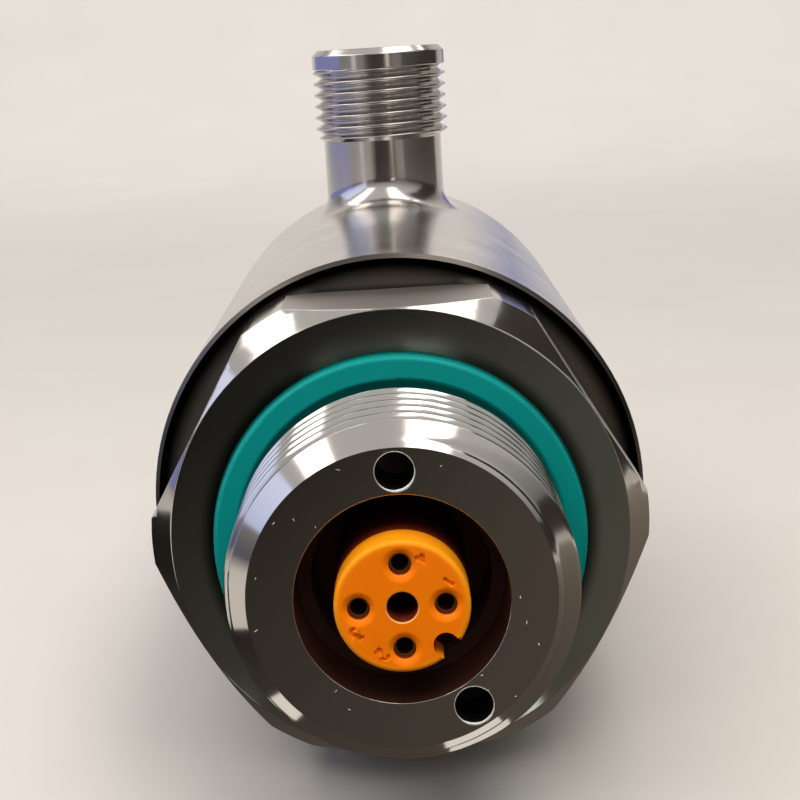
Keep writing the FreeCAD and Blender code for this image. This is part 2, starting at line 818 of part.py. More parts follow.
def display_bezel():
    """Moulded head that closes the housing: face plate, skirt, screw bosses, and all its openings."""
    bar = rod(2 * bezel_radius, web_back, head_centre + body_diameter)
    shape = bar.common(head_slab(bezel_back, 0))
    rim = [edge for edge in shape.Edges if edge.BoundBox.YMax > shape.BoundBox.YMax - EDGE_TOLERANCE]
    shape = shape.makeFillet(bezel_edge_round, rim)
    hollow = rod(2 * (bezel_radius - bezel_skirt), web_back, head_centre + body_diameter)
    shape = shape.cut(hollow.common(head_slab(-REACH, plate_back)))
    for place in boss_places():
        boss = head_rod(boss_diameter, board_face, plate_back, place)
        shape = shape.fuse(boss.common(rod(2 * carrier_radius, web_back, head_centre + body_diameter)))
    centre = (0.0, display_centre)
    rebate = tuple(size + 2 * window_rebate for size in window_opening)
    cuts = [
        head_block(window_opening, plate_back, 0, centre),
        head_pane(rebate, -window_thickness, bezel_proud, centre, window_corner)]
    button_hole = button_diameter + 2 * button_clearance
    cuts += [head_rod(button_hole, plate_back, 0, place) for place in button_places()]
    led_hole = led_diameter + 2 * led_clearance
    cuts += [head_rod(led_hole, plate_back, 0, place) for place in led_places()]
    screw_hole = small_screw_shank + 2 * small_screw_clearance
    screw_end = board_back + small_screw_length
    cuts += [head_rod(screw_hole, board_face, screw_end, place) for place in boss_places()]
    return shape.cut(cuts).removeSplitter()


def display_window():
    """Tinted pane in the bezel's rebate."""
    spread = 2 * (window_rebate - window_clearance)
    size = tuple(opening + spread for opening in window_opening)
    return head_pane(size, -window_thickness, 0, (0.0, display_centre), window_corner - window_clearance)


def bezel_gasket():
    """Sealing ring between the bezel's skirt and its seat in the housing."""
    end = head_centre + body_diameter
    shape = ring(2 * bezel_radius, 2 * body_bore_radius, web_back, end)
    return shape.common(head_slab(head_seat, bezel_back))


def display_board():
    """Board behind the bezel, on its two bosses, trimmed to clear the body's bore."""
    size = (board_width, board_top - board_bottom)
    shape = head_block(size, board_back, board_face, (0.0, (board_top + board_bottom) / 2))
    shape = shape.common(rod(2 * (body_bore_radius - display_board_clearance), web_back, 2 * head_centre))
    hole = small_screw_shank + 2 * small_screw_clearance
    return shape.cut([head_rod(hole, board_back, board_face, boss) for boss in boss_places()])


def display_module():
    """Four-figure display block behind the window."""
    size = (display_width, display_block_height)
    return head_block(size, board_face, plate_back - display_gap, (0.0, display_centre))


def status_led(place):
    """Light guide from the display board through the bezel's face."""
    return head_rod(led_diameter, board_face, 0, place)


def switch(place):
    """Push switch on the display board with its plunger under a button."""
    body_top = board_face + switch_body_height
    body = head_block((switch_size, switch_size), board_face, body_top, place)
    return body.fuse(head_rod(switch_plunger_diameter, body_top, switch_top, place))


def button(place):
    """Button cap in the bezel, with a flange behind the plate and a stem above the switch."""
    flange_front_depth = plate_back - button_flange_gap
    flange_back_depth = flange_front_depth - button_flange_thickness
    cap = head_rod(button_diameter, flange_back_depth, button_proud, place)
    flange_diameter = button_diameter + 2 * (button_clearance + button_flange)
    flange = head_rod(flange_diameter, flange_back_depth, flange_front_depth, place)
    stem_end = switch_top + button_travel + button_end_gap
    stem = head_rod(button_stem_diameter, stem_end, flange_back_depth, place)
    return cap.fuse(flange).fuse(stem).removeSplitter()


def display_screw(place):
    """Small pan-head screw from behind the display board into a boss."""
    shank = head_rod(small_screw_shank, board_back, board_back + small_screw_length, place)
    head = head_rod(small_screw_head, board_back - small_screw_head_height, board_back, place)
    return shank.fuse(head)


def all_pieces():
    """Every piece of the controller by its name."""
    pieces = {
        "process_connection": process_connection(),
        "process_seal": process_seal(),
        "socket_insert": socket_insert(),
        "socket_gasket": socket_gasket(),
        "socket_lock_ring": ring(insert_flange_diameter, lock_ring_bore, flange_back, lock_ring_back),
        "socket_board": socket_board(),
        "lead_socket": rod(lead_socket_diameter, socket_board_back, lead_socket_back),
        "swivel_o_ring": swivel_o_ring(),
        "snap_ring": snap_ring(),
        "slide_washer": ring(washer_outer_diameter, washer_inner_diameter,
                             hex_length, hex_length + washer_thickness),
        "housing": housing(),
        "stop_pin": stop_pin(),
        "plug_insert": plug_insert(),
        "plug_gasket": plug_gasket(),
        "plug_board": plug_board(),
        "plug_flex": plug_flex(),
        "flex_socket": flex_socket(),
        "board_carrier": board_carrier(),
        "main_board": main_board(),
        "controller_chip": controller_chip(),
        "power_coil": power_coil(),
        "lead_header": lead_header(),
        "sensor_lead": sensor_lead(),
        "board_link": board_link(),
        "display_board": display_board(),
        "display_module": display_module(),
        "display_bezel": display_bezel(),
        "display_window": display_window(),
        "bezel_gasket": bezel_gasket()}
    for name, place in zip(("set_button", "down_button", "up_button"), button_places()):
        pieces[name] = button(place)
    repeated = {
        "contact": (contact, contact_places()),
        "plug_pin": (plug_pin, plug_pin_places()),
        "carrier_screw": (carrier_screw, carrier_screw_places()),
        "status_led": (status_led, led_places()),
        "switch": (switch, button_places()),
        "display_screw": (display_screw, boss_places())}
    for name, (make, places) in repeated.items():
        for number, place in enumerate(places, 1):
            pieces[f"{name}_{number}"] = make(place)
    return pieces


os.makedirs("parts", exist_ok=True)
for piece_name, piece in all_pieces().items():
    piece.exportStep(f"parts/{piece_name}.step")
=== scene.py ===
"""Looks of a compact temperature controller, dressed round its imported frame.

The main axis is Y, with the threaded nose towards -Y, the plug stub towards +Z and the slanted
display head at the back. Sizes are written in millimetres and turned to metres by MM.
"""

import logging
import math
from contextlib import contextmanager
from dataclasses import dataclass
from enum import Enum
from functools import cache
from typing import Callable, Iterator

import bmesh
import bpy
from mathutils import Matrix, Vector, noise


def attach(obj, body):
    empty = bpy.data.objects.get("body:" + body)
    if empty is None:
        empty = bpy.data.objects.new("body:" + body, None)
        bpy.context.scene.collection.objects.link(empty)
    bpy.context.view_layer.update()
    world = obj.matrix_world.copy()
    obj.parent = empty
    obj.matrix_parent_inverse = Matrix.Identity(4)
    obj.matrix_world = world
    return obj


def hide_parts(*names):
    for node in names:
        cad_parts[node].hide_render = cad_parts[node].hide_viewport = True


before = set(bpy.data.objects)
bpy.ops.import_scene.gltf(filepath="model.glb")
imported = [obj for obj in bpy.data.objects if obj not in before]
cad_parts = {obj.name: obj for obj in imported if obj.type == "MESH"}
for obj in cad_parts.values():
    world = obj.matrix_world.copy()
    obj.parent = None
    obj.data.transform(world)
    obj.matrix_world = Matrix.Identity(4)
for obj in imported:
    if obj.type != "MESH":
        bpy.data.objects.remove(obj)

Tree = bpy.types.NodeTree
Node = bpy.types.Node
Socket = bpy.types.NodeSocket
Material = bpy.types.Material
Mesh = bpy.types.Mesh
Piece = bpy.types.Object
Work = bmesh.types.BMesh
Span = tuple[float, float]
Spot = tuple[float, float, float]
Corners = list[tuple[float, float]]
Sizes = dict[str, float | int | Vector]
FaceTest = Callable[[Vector], bool]

log = logging.getLogger("controller")

MM = 0.001
MICRON = 1e-6
# Margin in millimetres: faces this near a limit count as on it, and points this near each other join
MARGIN = 0.001
# Turn that stands a form drawn on the XY plane up, with its top towards the nose
FACING_NOSE = Matrix.Rotation(math.radians(90), 4, "X")
# Quarter turn from the tangent round the axis, so that turned steel spreads light across its rings
ACROSS_RINGS = 0.25
# Values between which a noise pattern mostly stays
PATTERN_SPAN = (0.3, 0.7)
# Radii in millimetres that no piece reaches, for finishes without a change by radius
NOWHERE = (1000.0, 1001.0)
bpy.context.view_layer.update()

# Node kinds that are used most
MATH = "ShaderNodeMath"
VECTOR_MATH = "ShaderNodeVectorMath"
MAP_RANGE = "ShaderNodeMapRange"
MIX = "ShaderNodeMix"
NOISE = "ShaderNodeTexNoise"
BUMP = "ShaderNodeBump"
PRINCIPLED = "ShaderNodeBsdfPrincipled"


# Node trees and plain meshes

def linear(code: str) -> tuple[float, float, float, float]:
    """Turn an sRGB hex colour to linear light.

    Args:
        code: colour such as "#C8C4BE".

    Returns:
        Linear red, green, blue and an alpha of 1.
    """
    shares = [int(code[start:start + 2], 16) / 255 for start in (1, 3, 5)]
    lights = [share / 12.92 if share <= 0.04045 else ((share + 0.055) / 1.055) ** 2.4
              for share in shares]
    return lights[0], lights[1], lights[2], 1.0


def add(tree: Tree, kind: str, inputs: dict | list | tuple = (), **settings: object) -> Node:
    """Add a node, set its properties, then set its inputs or link them.

    Args:
        tree: node tree that the node goes into.
        kind: type name of the node.
        inputs: value, hex colour, socket or node for each input, by name or in the order of those in use.
        settings: values of the node's properties, by name.

    Returns:
        The new node.
    """
    node = tree.nodes.new(kind)
    for name, value in settings.items():
        setattr(node, name, value)
    if isinstance(inputs, dict):
        pairs = [(node.inputs[name], value) for name, value in inputs.items()]
    else:
        pairs = zip([socket for socket in node.inputs if socket.enabled], inputs)
    for socket, value in pairs:
        if isinstance(value, Node):
            value = next(output for output in value.outputs if output.enabled)
        if isinstance(value, str):
            value = linear(value)
        if isinstance(value, Socket):
            tree.links.new(value, socket)
        else:
            socket.default_value = value
    return node


def fade(tree: Tree, level: Node | Socket, span_mm: Span, near: Node | str, far: str) -> Node:
    """Let one colour go over softly into another.

    Args:
        tree: node tree.
        level: length that decides, such as a radius.
        span_mm: lengths at which the change starts and ends, in millimetres.
        near: hex colour before the change, or the node that gives it.
        far: hex colour after the change.

    Returns:
        The node that gives the mixed colour.
    """
    start, end = span_mm
    share = add(tree, MAP_RANGE, [level, start * MM, end * MM], interpolation_type="SMOOTHSTEP")
    return add(tree, MIX, [share, near, far], data_type="RGBA")


def linked(name: str, data: bpy.types.ID) -> Piece:
    """Put an object into the scene, at the origin.

    Args:
        name: name of the object.
        data: its mesh, lamp or camera.

    Returns:
        The new object.
    """
    piece = bpy.data.objects.new(name, data)
    bpy.context.scene.collection.objects.link(piece)
    return piece


def mesh_object(name: str, mesh: Mesh, material: Material) -> Piece:
    """Put a mesh into the scene as a smooth-shaded piece.

    Args:
        name: name of the piece.
        mesh: its mesh, already in place.
        material: its finish.

    Returns:
        The new object.
    """
    mesh.materials.clear()
    mesh.materials.append(material)
    mesh.shade_smooth()
    return linked(name, mesh)


@contextmanager
def worked(mesh: Mesh, outward: bool = False) -> Iterator[Work]:
    """Open a mesh for work and write the result back.

    Args:
        mesh: mesh to work on, which may be empty.
        outward: whether to turn its faces outward at the end.

    Yields:
        The worked mesh.
    """
    work = bmesh.new()
    work.from_mesh(mesh)
    yield work
    if outward:
        bmesh.ops.recalc_face_normals(work, faces=work.faces[:])
    work.to_mesh(mesh)
    work.free()


def baked(piece: Piece) -> Piece:
    """Turn a piece with modifiers into a plain mesh.

    Args:
        piece: object whose modifiers are still live.

    Returns:
        The same object with its evaluated mesh and no modifiers.
    """
    graph = bpy.context.evaluated_depsgraph_get()
    mesh = bpy.data.meshes.new_from_object(piece.evaluated_get(graph))
    piece.modifiers.clear()
    piece.data = mesh
    return piece


def geometry_tree(name: str, sizes: Sizes) -> tuple[Tree, bpy.types.NodeOutputs]:
    """Start a geometry tree with a named input for each size.

    Args:
        name: name of the tree.
        sizes: sizes by the names of their inputs.

    Returns:
        The tree and the sockets that give its inputs.
    """
    kinds = {float: "NodeSocketFloat", int: "NodeSocketInt", Vector: "NodeSocketVector"}
    tree = bpy.data.node_groups.new(name, "GeometryNodeTree")
    tree.interface.new_socket(name="Geometry", in_out="INPUT", socket_type="NodeSocketGeometry")
    for label, value in sizes.items():
        tree.interface.new_socket(name=label, in_out="INPUT", socket_type=kinds[type(value)])
    tree.interface.new_socket(name="Geometry", in_out="OUTPUT", socket_type="NodeSocketGeometry")
    return tree, add(tree, "NodeGroupInput").outputs


def grown(name: str, tree: Tree, shape: Node, finish: Material, sizes: Sizes, place: Matrix,
          seed: Mesh | None = None) -> Piece:
    """End a geometry tree, grow a piece from it and turn that into a plain mesh.

    Args:
        name: name of the piece.
        tree: geometry tree whose inputs are named for sizes.
        shape: its last node, whose instances are realized.
        finish: material of the piece.
        sizes: value of each named input.
        place: matrix from the tree's own frame to the part's frame.
        seed: mesh that the tree starts from, or None.

    Returns:
        The finished object, at the origin.
    """
    real = add(tree, "GeometryNodeRealizeInstances", [shape])
    dressed = add(tree, "GeometryNodeSetMaterial", {"Geometry": real, "Material": finish})
    add(tree, "NodeGroupOutput", [dressed])
    piece = linked(name, seed or bpy.data.meshes.new(name))
    modifier = piece.modifiers.new("growth", "NODES")
    modifier.node_group = tree
    for item in tree.interface.items_tree:
        if item.in_out == "INPUT" and item.name in sizes:
            modifier[item.identifier] = sizes[item.name]
    baked(piece)
    piece.data.transform(place)
    piece.data.shade_smooth()
    return piece


# Finishes

class Axis(Enum):
    """Line that a turned surface was turned about, as the vector that keeps only what lies across it."""

    MAIN = (1.0, 0.0, 1.0)
    PLUG = (1.0, 1.0, 0.0)


@dataclass(frozen=True)
class Finish:
    """Finish of one real material, made of nodes in the part's own space."""

    name: str

    def shader(self, tree: Tree, place: Socket) -> Node:
        """Add the nodes of the finish.

        Args:
            tree: node tree of the material.
            place: point in the part's own space.

        Returns:
            The last shader node.
        """
        raise NotImplementedError(self.name)

    @cache
    def material(self) -> Material:
        """Build the material at the first call.

        Returns:
            The material, the same one at each call.
        """
        material = bpy.data.materials.new(self.name)
        material.use_nodes = True
        tree = material.node_tree
        tree.nodes.clear()
        place = add(tree, "ShaderNodeTexCoord").outputs["Object"]
        add(tree, "ShaderNodeOutputMaterial", [self.shader(tree, place)])
        return material


@dataclass(frozen=True)
class TurnedSteel(Finish):
    """Austenitic stainless steel as it leaves a lathe: bright, with very fine rings round its axis."""

    colour: str
    cloud_colour: str
    roughness: float
    anisotropy: float
    ring_mm: float
    ring_micron: float
    axis: Axis = Axis.MAIN
    centre_mm: Spot = (0.0, 0.0, 0.0)
    cloud_mm: float = 6.0
    roughness_spread: float = 0.06
    # Painted light: between these radii the colour turns to this one (painted shade in the gap, painted
    # reflection on the sealing face)
    painted_light_mm: Span = NOWHERE
    painted_light_colour: str = "#070505"
    metallic: float = 1.0

    def shader(self, tree: Tree, place: Socket) -> Node:
        """Lay rings as bump, faint clouds in colour and gloss, and painted light from one radius to
        another.

        Args:
            tree: node tree of the material.
            place: point in the part's own space.

        Returns:
            The shader node.
        """
        shift = Vector(self.centre_mm) * -MM
        centred = add(tree, "ShaderNodeMapping", {"Vector": place, "Location": shift})
        across = add(tree, VECTOR_MATH, [centred, self.axis.value], operation="MULTIPLY")
        radius = add(tree, VECTOR_MATH, [across], operation="LENGTH")
        along = add(tree, VECTOR_MATH, [centred, across], operation="SUBTRACT")
        height = add(tree, VECTOR_MATH, [along, (1.0, 1.0, 1.0)], operation="DOT_PRODUCT")
        sweep = add(tree, MATH, [radius, height], operation="ADD")
        rings = add(tree, NOISE, {"W": sweep, "Scale": 1 / (self.ring_mm * MM), "Detail": 3.0},
                    noise_dimensions="1D")
        clouds = add(tree, NOISE, {"Vector": place, "Scale": 1 / (self.cloud_mm * MM), "Detail": 4.0})
        unpainted_tone = add(tree, MIX, [clouds, self.colour, self.cloud_colour], data_type="RGBA")
        dullest = self.roughness + self.roughness_spread
        return add(tree, PRINCIPLED, {
            "Base Color": fade(tree, radius, self.painted_light_mm, unpainted_tone, self.painted_light_colour),
            "Metallic": self.metallic,
            "Roughness": add(tree, MAP_RANGE, [clouds, *PATTERN_SPAN, self.roughness, dullest]),
            "Anisotropic": self.anisotropy,
            "Anisotropic Rotation": ACROSS_RINGS,
            "Tangent": add(tree, "ShaderNodeTangent", direction_type="RADIAL",
                           axis="Y" if self.axis is Axis.MAIN else "Z"),
            "Normal": add(tree, BUMP, {"Height": rings, "Distance": self.ring_micron * MICRON,
                                       "Strength": 1.0})})


@dataclass(frozen=True)
class Moulding(Finish):
    """Moulded polymer or elastomer: one body colour with slight flow clouds and a fine moulded grain."""

    colour: str
    cloud_colour: str
    roughness: float
    grain_mm: float
    grain_micron: float
    ior: float = 1.5
    subsurface: float = 0.0
    subsurface_mm: Spot = (0.6, 0.3, 0.1)
    cloud_mm: float = 3.0
    roughness_spread: float = 0.08
    # Radii and colour of a painted highlight on the rim
    lit_rim_mm: Span = NOWHERE
    lit_rim_colour: str = "#FFFFFF"

    def shader(self, tree: Tree, place: Socket) -> Node:
        """Lay clouds in colour, grain in bump and gloss, and a paler rim from one radius to another, which
        is a painted highlight.

        Args:
            tree: node tree of the material.
            place: point in the part's own space.

        Returns:
            The shader node.
        """
        clouds = add(tree, NOISE, {"Vector": place, "Scale": 1 / (self.cloud_mm * MM), "Detail": 3.0})
        grain = add(tree, NOISE, {"Vector": place, "Scale": 1 / (self.grain_mm * MM), "Detail": 2.0})
        body = add(tree, MIX, [clouds, self.colour, self.cloud_colour], data_type="RGBA")
        across = add(tree, VECTOR_MATH, [place, Axis.MAIN.value], operation="MULTIPLY")
        radius = add(tree, VECTOR_MATH, [across], operation="LENGTH")
        dullest = self.roughness + self.roughness_spread
        return add(tree, PRINCIPLED, {
            "Base Color": fade(tree, radius, self.lit_rim_mm, body, self.lit_rim_colour),
            "Roughness": add(tree, MAP_RANGE, [grain, *PATTERN_SPAN, self.roughness, dullest]),
            "IOR": self.ior,
            "Subsurface Weight": self.subsurface,
            "Subsurface Radius": Vector(self.subsurface_mm) * MM,
            "Subsurface Scale": 1.0,
            "Normal": add(tree, BUMP, {"Height": grain, "Distance": self.grain_micron * MICRON,
                                       "Strength": 1.0})})


@dataclass(frozen=True)
class Plating(Finish):
    """Plated or plain small metal part: tumbled, so bright with a soft uneven gloss."""

    colour: str
    dull_colour: str
    roughness: float
    spot_mm: float
    dulling: float = 1.6

    def shader(self, tree: Tree, place: Socket) -> Node:
        """Lay small dull spots in colour and gloss.

        Args:
            tree: node tree of the material.
            place: point in the part's own space.

        Returns:
            The shader node.
        """
        spots = add(tree, NOISE, {"Vector": place, "Scale": 1 / (self.spot_mm * MM), "Detail": 5.0})
        dullest = self.dulling * self.roughness
        return add(tree, PRINCIPLED, {
            "Base Color": add(tree, MIX, [spots, self.colour, self.dull_colour], data_type="RGBA"),
            "Metallic": 1.0,
            "Roughness": add(tree, MAP_RANGE, [spots, *PATTERN_SPAN, self.roughness, dullest])})


@dataclass(frozen=True)
class Laminate(Finish):
    """Circuit laminate or film: coloured lacquer over a weave, with lighter conductor lines."""

    colour: str
    line_colour: str
    line_mm: float
    weave_mm: float
    roughness: float
    line_share: float = 0.04
    weave_micron: float = 4.0
    weave_strength: float = 0.4
    ior: float = 1.52

    def shader(self, tree: Tree, place: Socket) -> Node:
        """Lay conductor lines in colour and the weave as bump.

        Args:
            tree: node tree of the material.
            place: point in the part's own space.

        Returns:
            The shader node.
        """
        weave = add(tree, "ShaderNodeTexChecker", {"Vector": place, "Scale": 1 / (self.weave_mm * MM)})
        return add(tree, PRINCIPLED, {
            "Base Color": add(tree, "ShaderNodeTexBrick", {
                "Vector": place, "Color1": self.colour, "Color2": self.colour, "Mortar": self.line_colour,
                "Scale": 1 / (self.line_mm * MM), "Mortar Size": self.line_share}),
            "Roughness": self.roughness,
            "IOR": self.ior,
            "Normal": add(tree, BUMP, {"Height": weave.outputs["Fac"], "Strength": self.weave_strength,
                                       "Distance": self.weave_micron * MICRON})})


@dataclass(frozen=True)
class ClearPane(Finish):
    """Clear or tinted acrylic: see-through, with a faint orange-peel ripple from the mould."""

    colour: str
    roughness: float
    ripple_mm: float
    transmission: float
    ior: float = 1.49
    ripple_micron: float = 2.0
    ripple_strength: float = 0.5

    def shader(self, tree: Tree, place: Socket) -> Node:
        """Tint what passes through, with a ripple as bump.

        Args:
            tree: node tree of the material.
            place: point in the part's own space.

        Returns:
            The shader node.
        """
        ripple = add(tree, NOISE, {"Vector": place, "Scale": 1 / (self.ripple_mm * MM)})
        return add(tree, PRINCIPLED, {
            "Base Color": self.colour,
            "Roughness": self.roughness,
            "IOR": self.ior,
            "Transmission Weight": self.transmission,
            "Normal": add(tree, BUMP, {"Height": ripple, "Strength": self.ripple_strength,
                                       "Distance": self.ripple_micron * MICRON})})


@dataclass(frozen=True)
class Paper(Finish):
    """Pale matt paper with a faint fibre, paler towards the backdrop.

    In front of the object it throws little light back, as the dark table in front of it does.
    """

    floor_colour: str
    backdrop_colour: str
    bounce_colour: str
    fibre_colour: str
    fibre_mm: float = 40.0
    paler_mm: Span = (100.0, 700.0)
    bounce_mm: Span = (30.0, 120.0)
    roughness: float = 0.9
    specular: float = 0.2

    def shader(self, tree: Tree, place: Socket) -> Node:
        """Lay the fibre and the change of tone, and dim what the front throws back.

        Args:
            tree: node tree of the material.
            place: point in the studio.

        Returns:
            The shader node.
        """
        fibre = add(tree, NOISE, {"Vector": place, "Scale": 1 / (self.fibre_mm * MM), "Detail": 3.0})
        depth = add(tree, "ShaderNodeSeparateXYZ", [place]).outputs["Y"]
        ground = fade(tree, depth, self.paler_mm, self.floor_colour, self.backdrop_colour)
        tone = add(tree, MIX, [fibre, ground, self.fibre_colour], data_type="RGBA", blend_type="MULTIPLY")
        near, far = self.bounce_mm
        behind = add(tree, MAP_RANGE, [depth, near * MM, far * MM])
        thrown = add(tree, MIX, [behind, self.bounce_colour, tone], data_type="RGBA")
        path = add(tree, "ShaderNodeLightPath").outputs
        seen = path["Is Camera Ray"]
        for ray in ("Is Glossy Ray", "Is Transmission Ray"):
            seen = add(tree, MATH, [seen, path[ray]], operation="MAXIMUM")
        return add(tree, PRINCIPLED, {
            "Base Color": add(tree, MIX, [seen, thrown, tone], data_type="RGBA"),
            "Roughness": self.roughness,
            "Specular IOR Level": self.specular})


@dataclass(frozen=True)
class Glow(Finish):
    """Bright sheet, even or brighter towards one side.

    Its strength holds at the origin, where 1 is white, and grows per millimetre along each axis.
    """

    colour: str
    strength: float
    growth: Spot = (0.0, 0.0, 0.0)
    dimmest: float = 0.2

    def shader(self, tree: Tree, place: Socket) -> Node:
        """Let the sheet shine, no dimmer than a share of its strength.

        Args:
            tree: node tree of the material.
            place: point in the studio.

        Returns:
            The shader node.
        """
        rise = add(tree, VECTOR_MATH, [place, Vector(self.growth) / MM], operation="DOT_PRODUCT")
        level = add(tree, MATH, [rise, self.strength], operation="ADD")
        lit = add(tree, MATH, [level, self.dimmest * self.strength], operation="MAXIMUM")
        return add(tree, "ShaderNodeEmission", [self.colour, lit])


# Stainless bar, fine turned and polished: mirror-like round the axis, drawn out across the rings
NOSE_STEEL = TurnedSteel("stainless_steel_fine_turned", "#C9C5C0", "#BDB9B6", 0.1, 0.45, 0.16, 0.8,
                         roughness_spread=0.04)
# The housing is polished further, so its rings are fainter and its gloss softer
BODY_STEEL = TurnedSteel("stainless_steel_polished", "#CBC7C3", "#C0BCBA", 0.17, 0.35, 0.22, 0.6)
# The plug stub is turned about its own axis
STUB_STEEL = TurnedSteel("stainless_steel_plug_stub", "#CBC7C3", "#C0BCBA", 0.15, 0.4, 0.2, 0.7,
                         axis=Axis.PLUG, centre_mm=(0.0, 52.4, 0.0))
# Inside of the drilled holes: rough from the tool, and darkened as painted shade
BORED_STEEL = TurnedSteel("stainless_steel_bored", "#57514D", "#4B4643", 0.4, 0.3, 0.3, 1.5)
# Wall of the socket: dark as painted shade, with a red-brown tint as a painted glow of the orange carrier,
# and only partly metallic
SOCKET_STEEL = TurnedSteel("stainless_steel_socket_painted_shade", "#42241B", "#3A1F17", 0.5, 0.0, 0.3, 1.5,
                           metallic=0.2)
# Milled flats of the hexagon: satin, without rings round the axis
FLAT_STEEL = TurnedSteel("stainless_steel_milled", "#B4AEA8", "#A8A29D", 0.3, 0.0, 0.3, 1.0)
# End face of the housing in the gap behind the hexagon: faced off, with painted shade that turns black
# towards its rim
GAP_STEEL = TurnedSteel("stainless_steel_faced", "#8F8984", "#857F7B", 0.28, 0.2, 0.3, 1.2,
                        painted_light_mm=(15.2, 16.6))
# Broken front rim of the housing: darkened as painted shade, so its chamfer shows no bright band of
# reflection
RIM_STEEL = TurnedSteel("stainless_steel_rim_painted_shade", "#58534F", "#504B48", 0.3, 0.2, 0.3, 1.0)
# Sealing face of the hexagon: turned like the nose, tinted green all over and darker green next to the
# seal, as a painted reflection of the teal seal
SEALING_STEEL = TurnedSteel("stainless_steel_sealing_face", "#BCC5BF", "#B0B9B3", 0.1, 0.45, 0.16, 0.8,
                            roughness_spread=0.04, painted_light_mm=(13.3, 12.2), painted_light_colour="#3E554B")
# Burr of a drilled hole: steel given a near-white, mostly non-metallic colour as a painted glint, so it
# looks white from every side
BURR_STEEL = TurnedSteel("stainless_steel_burr", "#F0EEEA", "#E2DFDA", 0.4, 0.0, 0.1, 1.0, metallic=0.3)
# Fluoroelastomer seal: dense, smooth and slightly waxy
SEAL_ELASTOMER = Moulding("fluoroelastomer_teal", "#008B87", "#008682", 0.42, 0.12, 2.0, ior=1.25)
# Polyamide of the contact carrier's face: satin and a little translucent, with a paler rim at its edge as a
# painted highlight
CARRIER_POLYAMIDE = Moulding("polyamide_orange", "#FF8200", "#F97C00", 0.4, 0.09, 1.5, ior=1.25,
                             subsurface=0.12, subsurface_mm=(0.7, 0.25, 0.03),
                             lit_rim_mm=(3.4, 3.95), lit_rim_colour="#FF9C12")
# Pale orange on the broken rim of the centre hole: a painted highlight
EDGE_HIGHLIGHT_POLYAMIDE = Moulding("polyamide_orange_painted_highlight", "#FFB068", "#FFA85C", 0.3, 0.05, 0.5, ior=1.4)
# Painted shade of the orange carrier: dark red-brown deeper than its face and on the walls of its holes
DEPTH_SHADE_POLYAMIDE = Moulding("polyamide_orange_painted_shade", "#6E2409", "#621F07", 0.5, 0.12, 2.0)
# Nitrile rubber of the inner seals
SEAL_RUBBER = Moulding("nitrile_rubber_black", "#17171A", "#1E1E20", 0.55, 0.2, 4.0)
# Acetal of the slide washer: smooth and slightly greasy
SLIDE_ACETAL = Moulding("acetal_black", "#141414", "#1A1A1A", 0.35, 0.3, 2.0, ior=1.48)
# Polyester of the bezel and plug insert, moulded in a spark-eroded tool: fine even grain
BEZEL_POLYESTER = Moulding("polyester_black_textured", "#1B1C1E", "#222326", 0.48, 0.16, 9.0, ior=1.57)
# Hard styrene-blend caps of the buttons
BUTTON_PLASTIC = Moulding("abs_button_grey", "#63676B", "#6A6E72", 0.4, 0.2, 4.0)
# Plain moulded carrier inside
CARRIER_ABS = Moulding("abs_carrier_grey", "#8D8E8C", "#858684", 0.5, 0.3, 6.0)
# Natural nylon of the small connectors
CONNECTOR_NYLON = Moulding("nylon_natural", "#DED9C9", "#D6D0BE", 0.5, 0.2, 4.0, subsurface=0.1)
# Epoxy packages: matt, with a sandy grain
CHIP_EPOXY = Moulding("epoxy_package_black", "#1A1B1D", "#222327", 0.6, 0.08, 6.0)
# Sintered ferrite of the choke: dark grey and slightly sparkling
CHOKE_FERRITE = Moulding("ferrite_grey", "#2F3033", "#3A3B3F", 0.4, 0.06, 8.0)
# Soft sheath of the wires
LEAD_SHEATH = Moulding("pvc_sheath_grey", "#43464B", "#4B4E53", 0.5, 0.4, 6.0)
# Dark face of the figure block
FIGURE_BLOCK = Moulding("polycarbonate_dark_face", "#191817", "#201E1D", 0.3, 0.3, 2.0)
# Milky fill of the unlit figures
FIGURE_FILL = Moulding("diffuser_fill_milky", "#D9D4C8", "#CFC9BC", 0.35, 0.2, 1.0, subsurface=0.1)
# Printed marks on the buttons
MARK_INK = Moulding("pad_print_ink_white", "#E6E6E2", "#DCDCD8", 0.5, 0.05, 1.0)
# Lint and fine chips left on the nose after machining
LINT = Moulding("lint_pale", "#E4E2DC", "#D8D5CE", 0.6, 0.02, 0.5)
# Gold over nickel on the contacts
CONTACT_GOLD = Plating("gold_plated_brass", "#C9A254", "#A98542", 0.3, 0.4)
# Machined brass of the locking ring
RING_BRASS = Plating("brass_machined", "#C9A658", "#B99750", 0.28, 0.8)
# Spring and screw steel
SPRING_STEEL = Plating("spring_steel", "#B9B9BB", "#A2A2A6", 0.28, 0.6)
# Solder mask over woven glass
BOARD_LAMINATE = Laminate("circuit_laminate_green", "#14502C", "#2B7446", 1.6, 0.5, 0.35)
# Polyimide film with copper lines under it
FLEX_FILM = Laminate("polyimide_film_amber", "#A8641C", "#C98A3A", 0.8, 0.25, 0.3)
# Smoked acrylic pane and the clear light guides
PANE_ACRYLIC = ClearPane("acrylic_smoked", "#A3A4A9", 0.03, 2.5, 1.0)
GUIDE_ACRYLIC = ClearPane("acrylic_clear", "#E9EEE4", 0.12, 0.8, 0.7)
# Matt background paper
SWEEP_PAPER = Paper("paper_sweep", "#C6C3BF", "#DEDBD7", "#5A5652", "#F6F5F4")


# Shared shapes

class ThreadSide(Enum):
    """Whether a thread stands on a rod or is cut into a bore."""

    OUTSIDE = "SMOOTH_MIN"
    INSIDE = "SMOOTH_MAX"


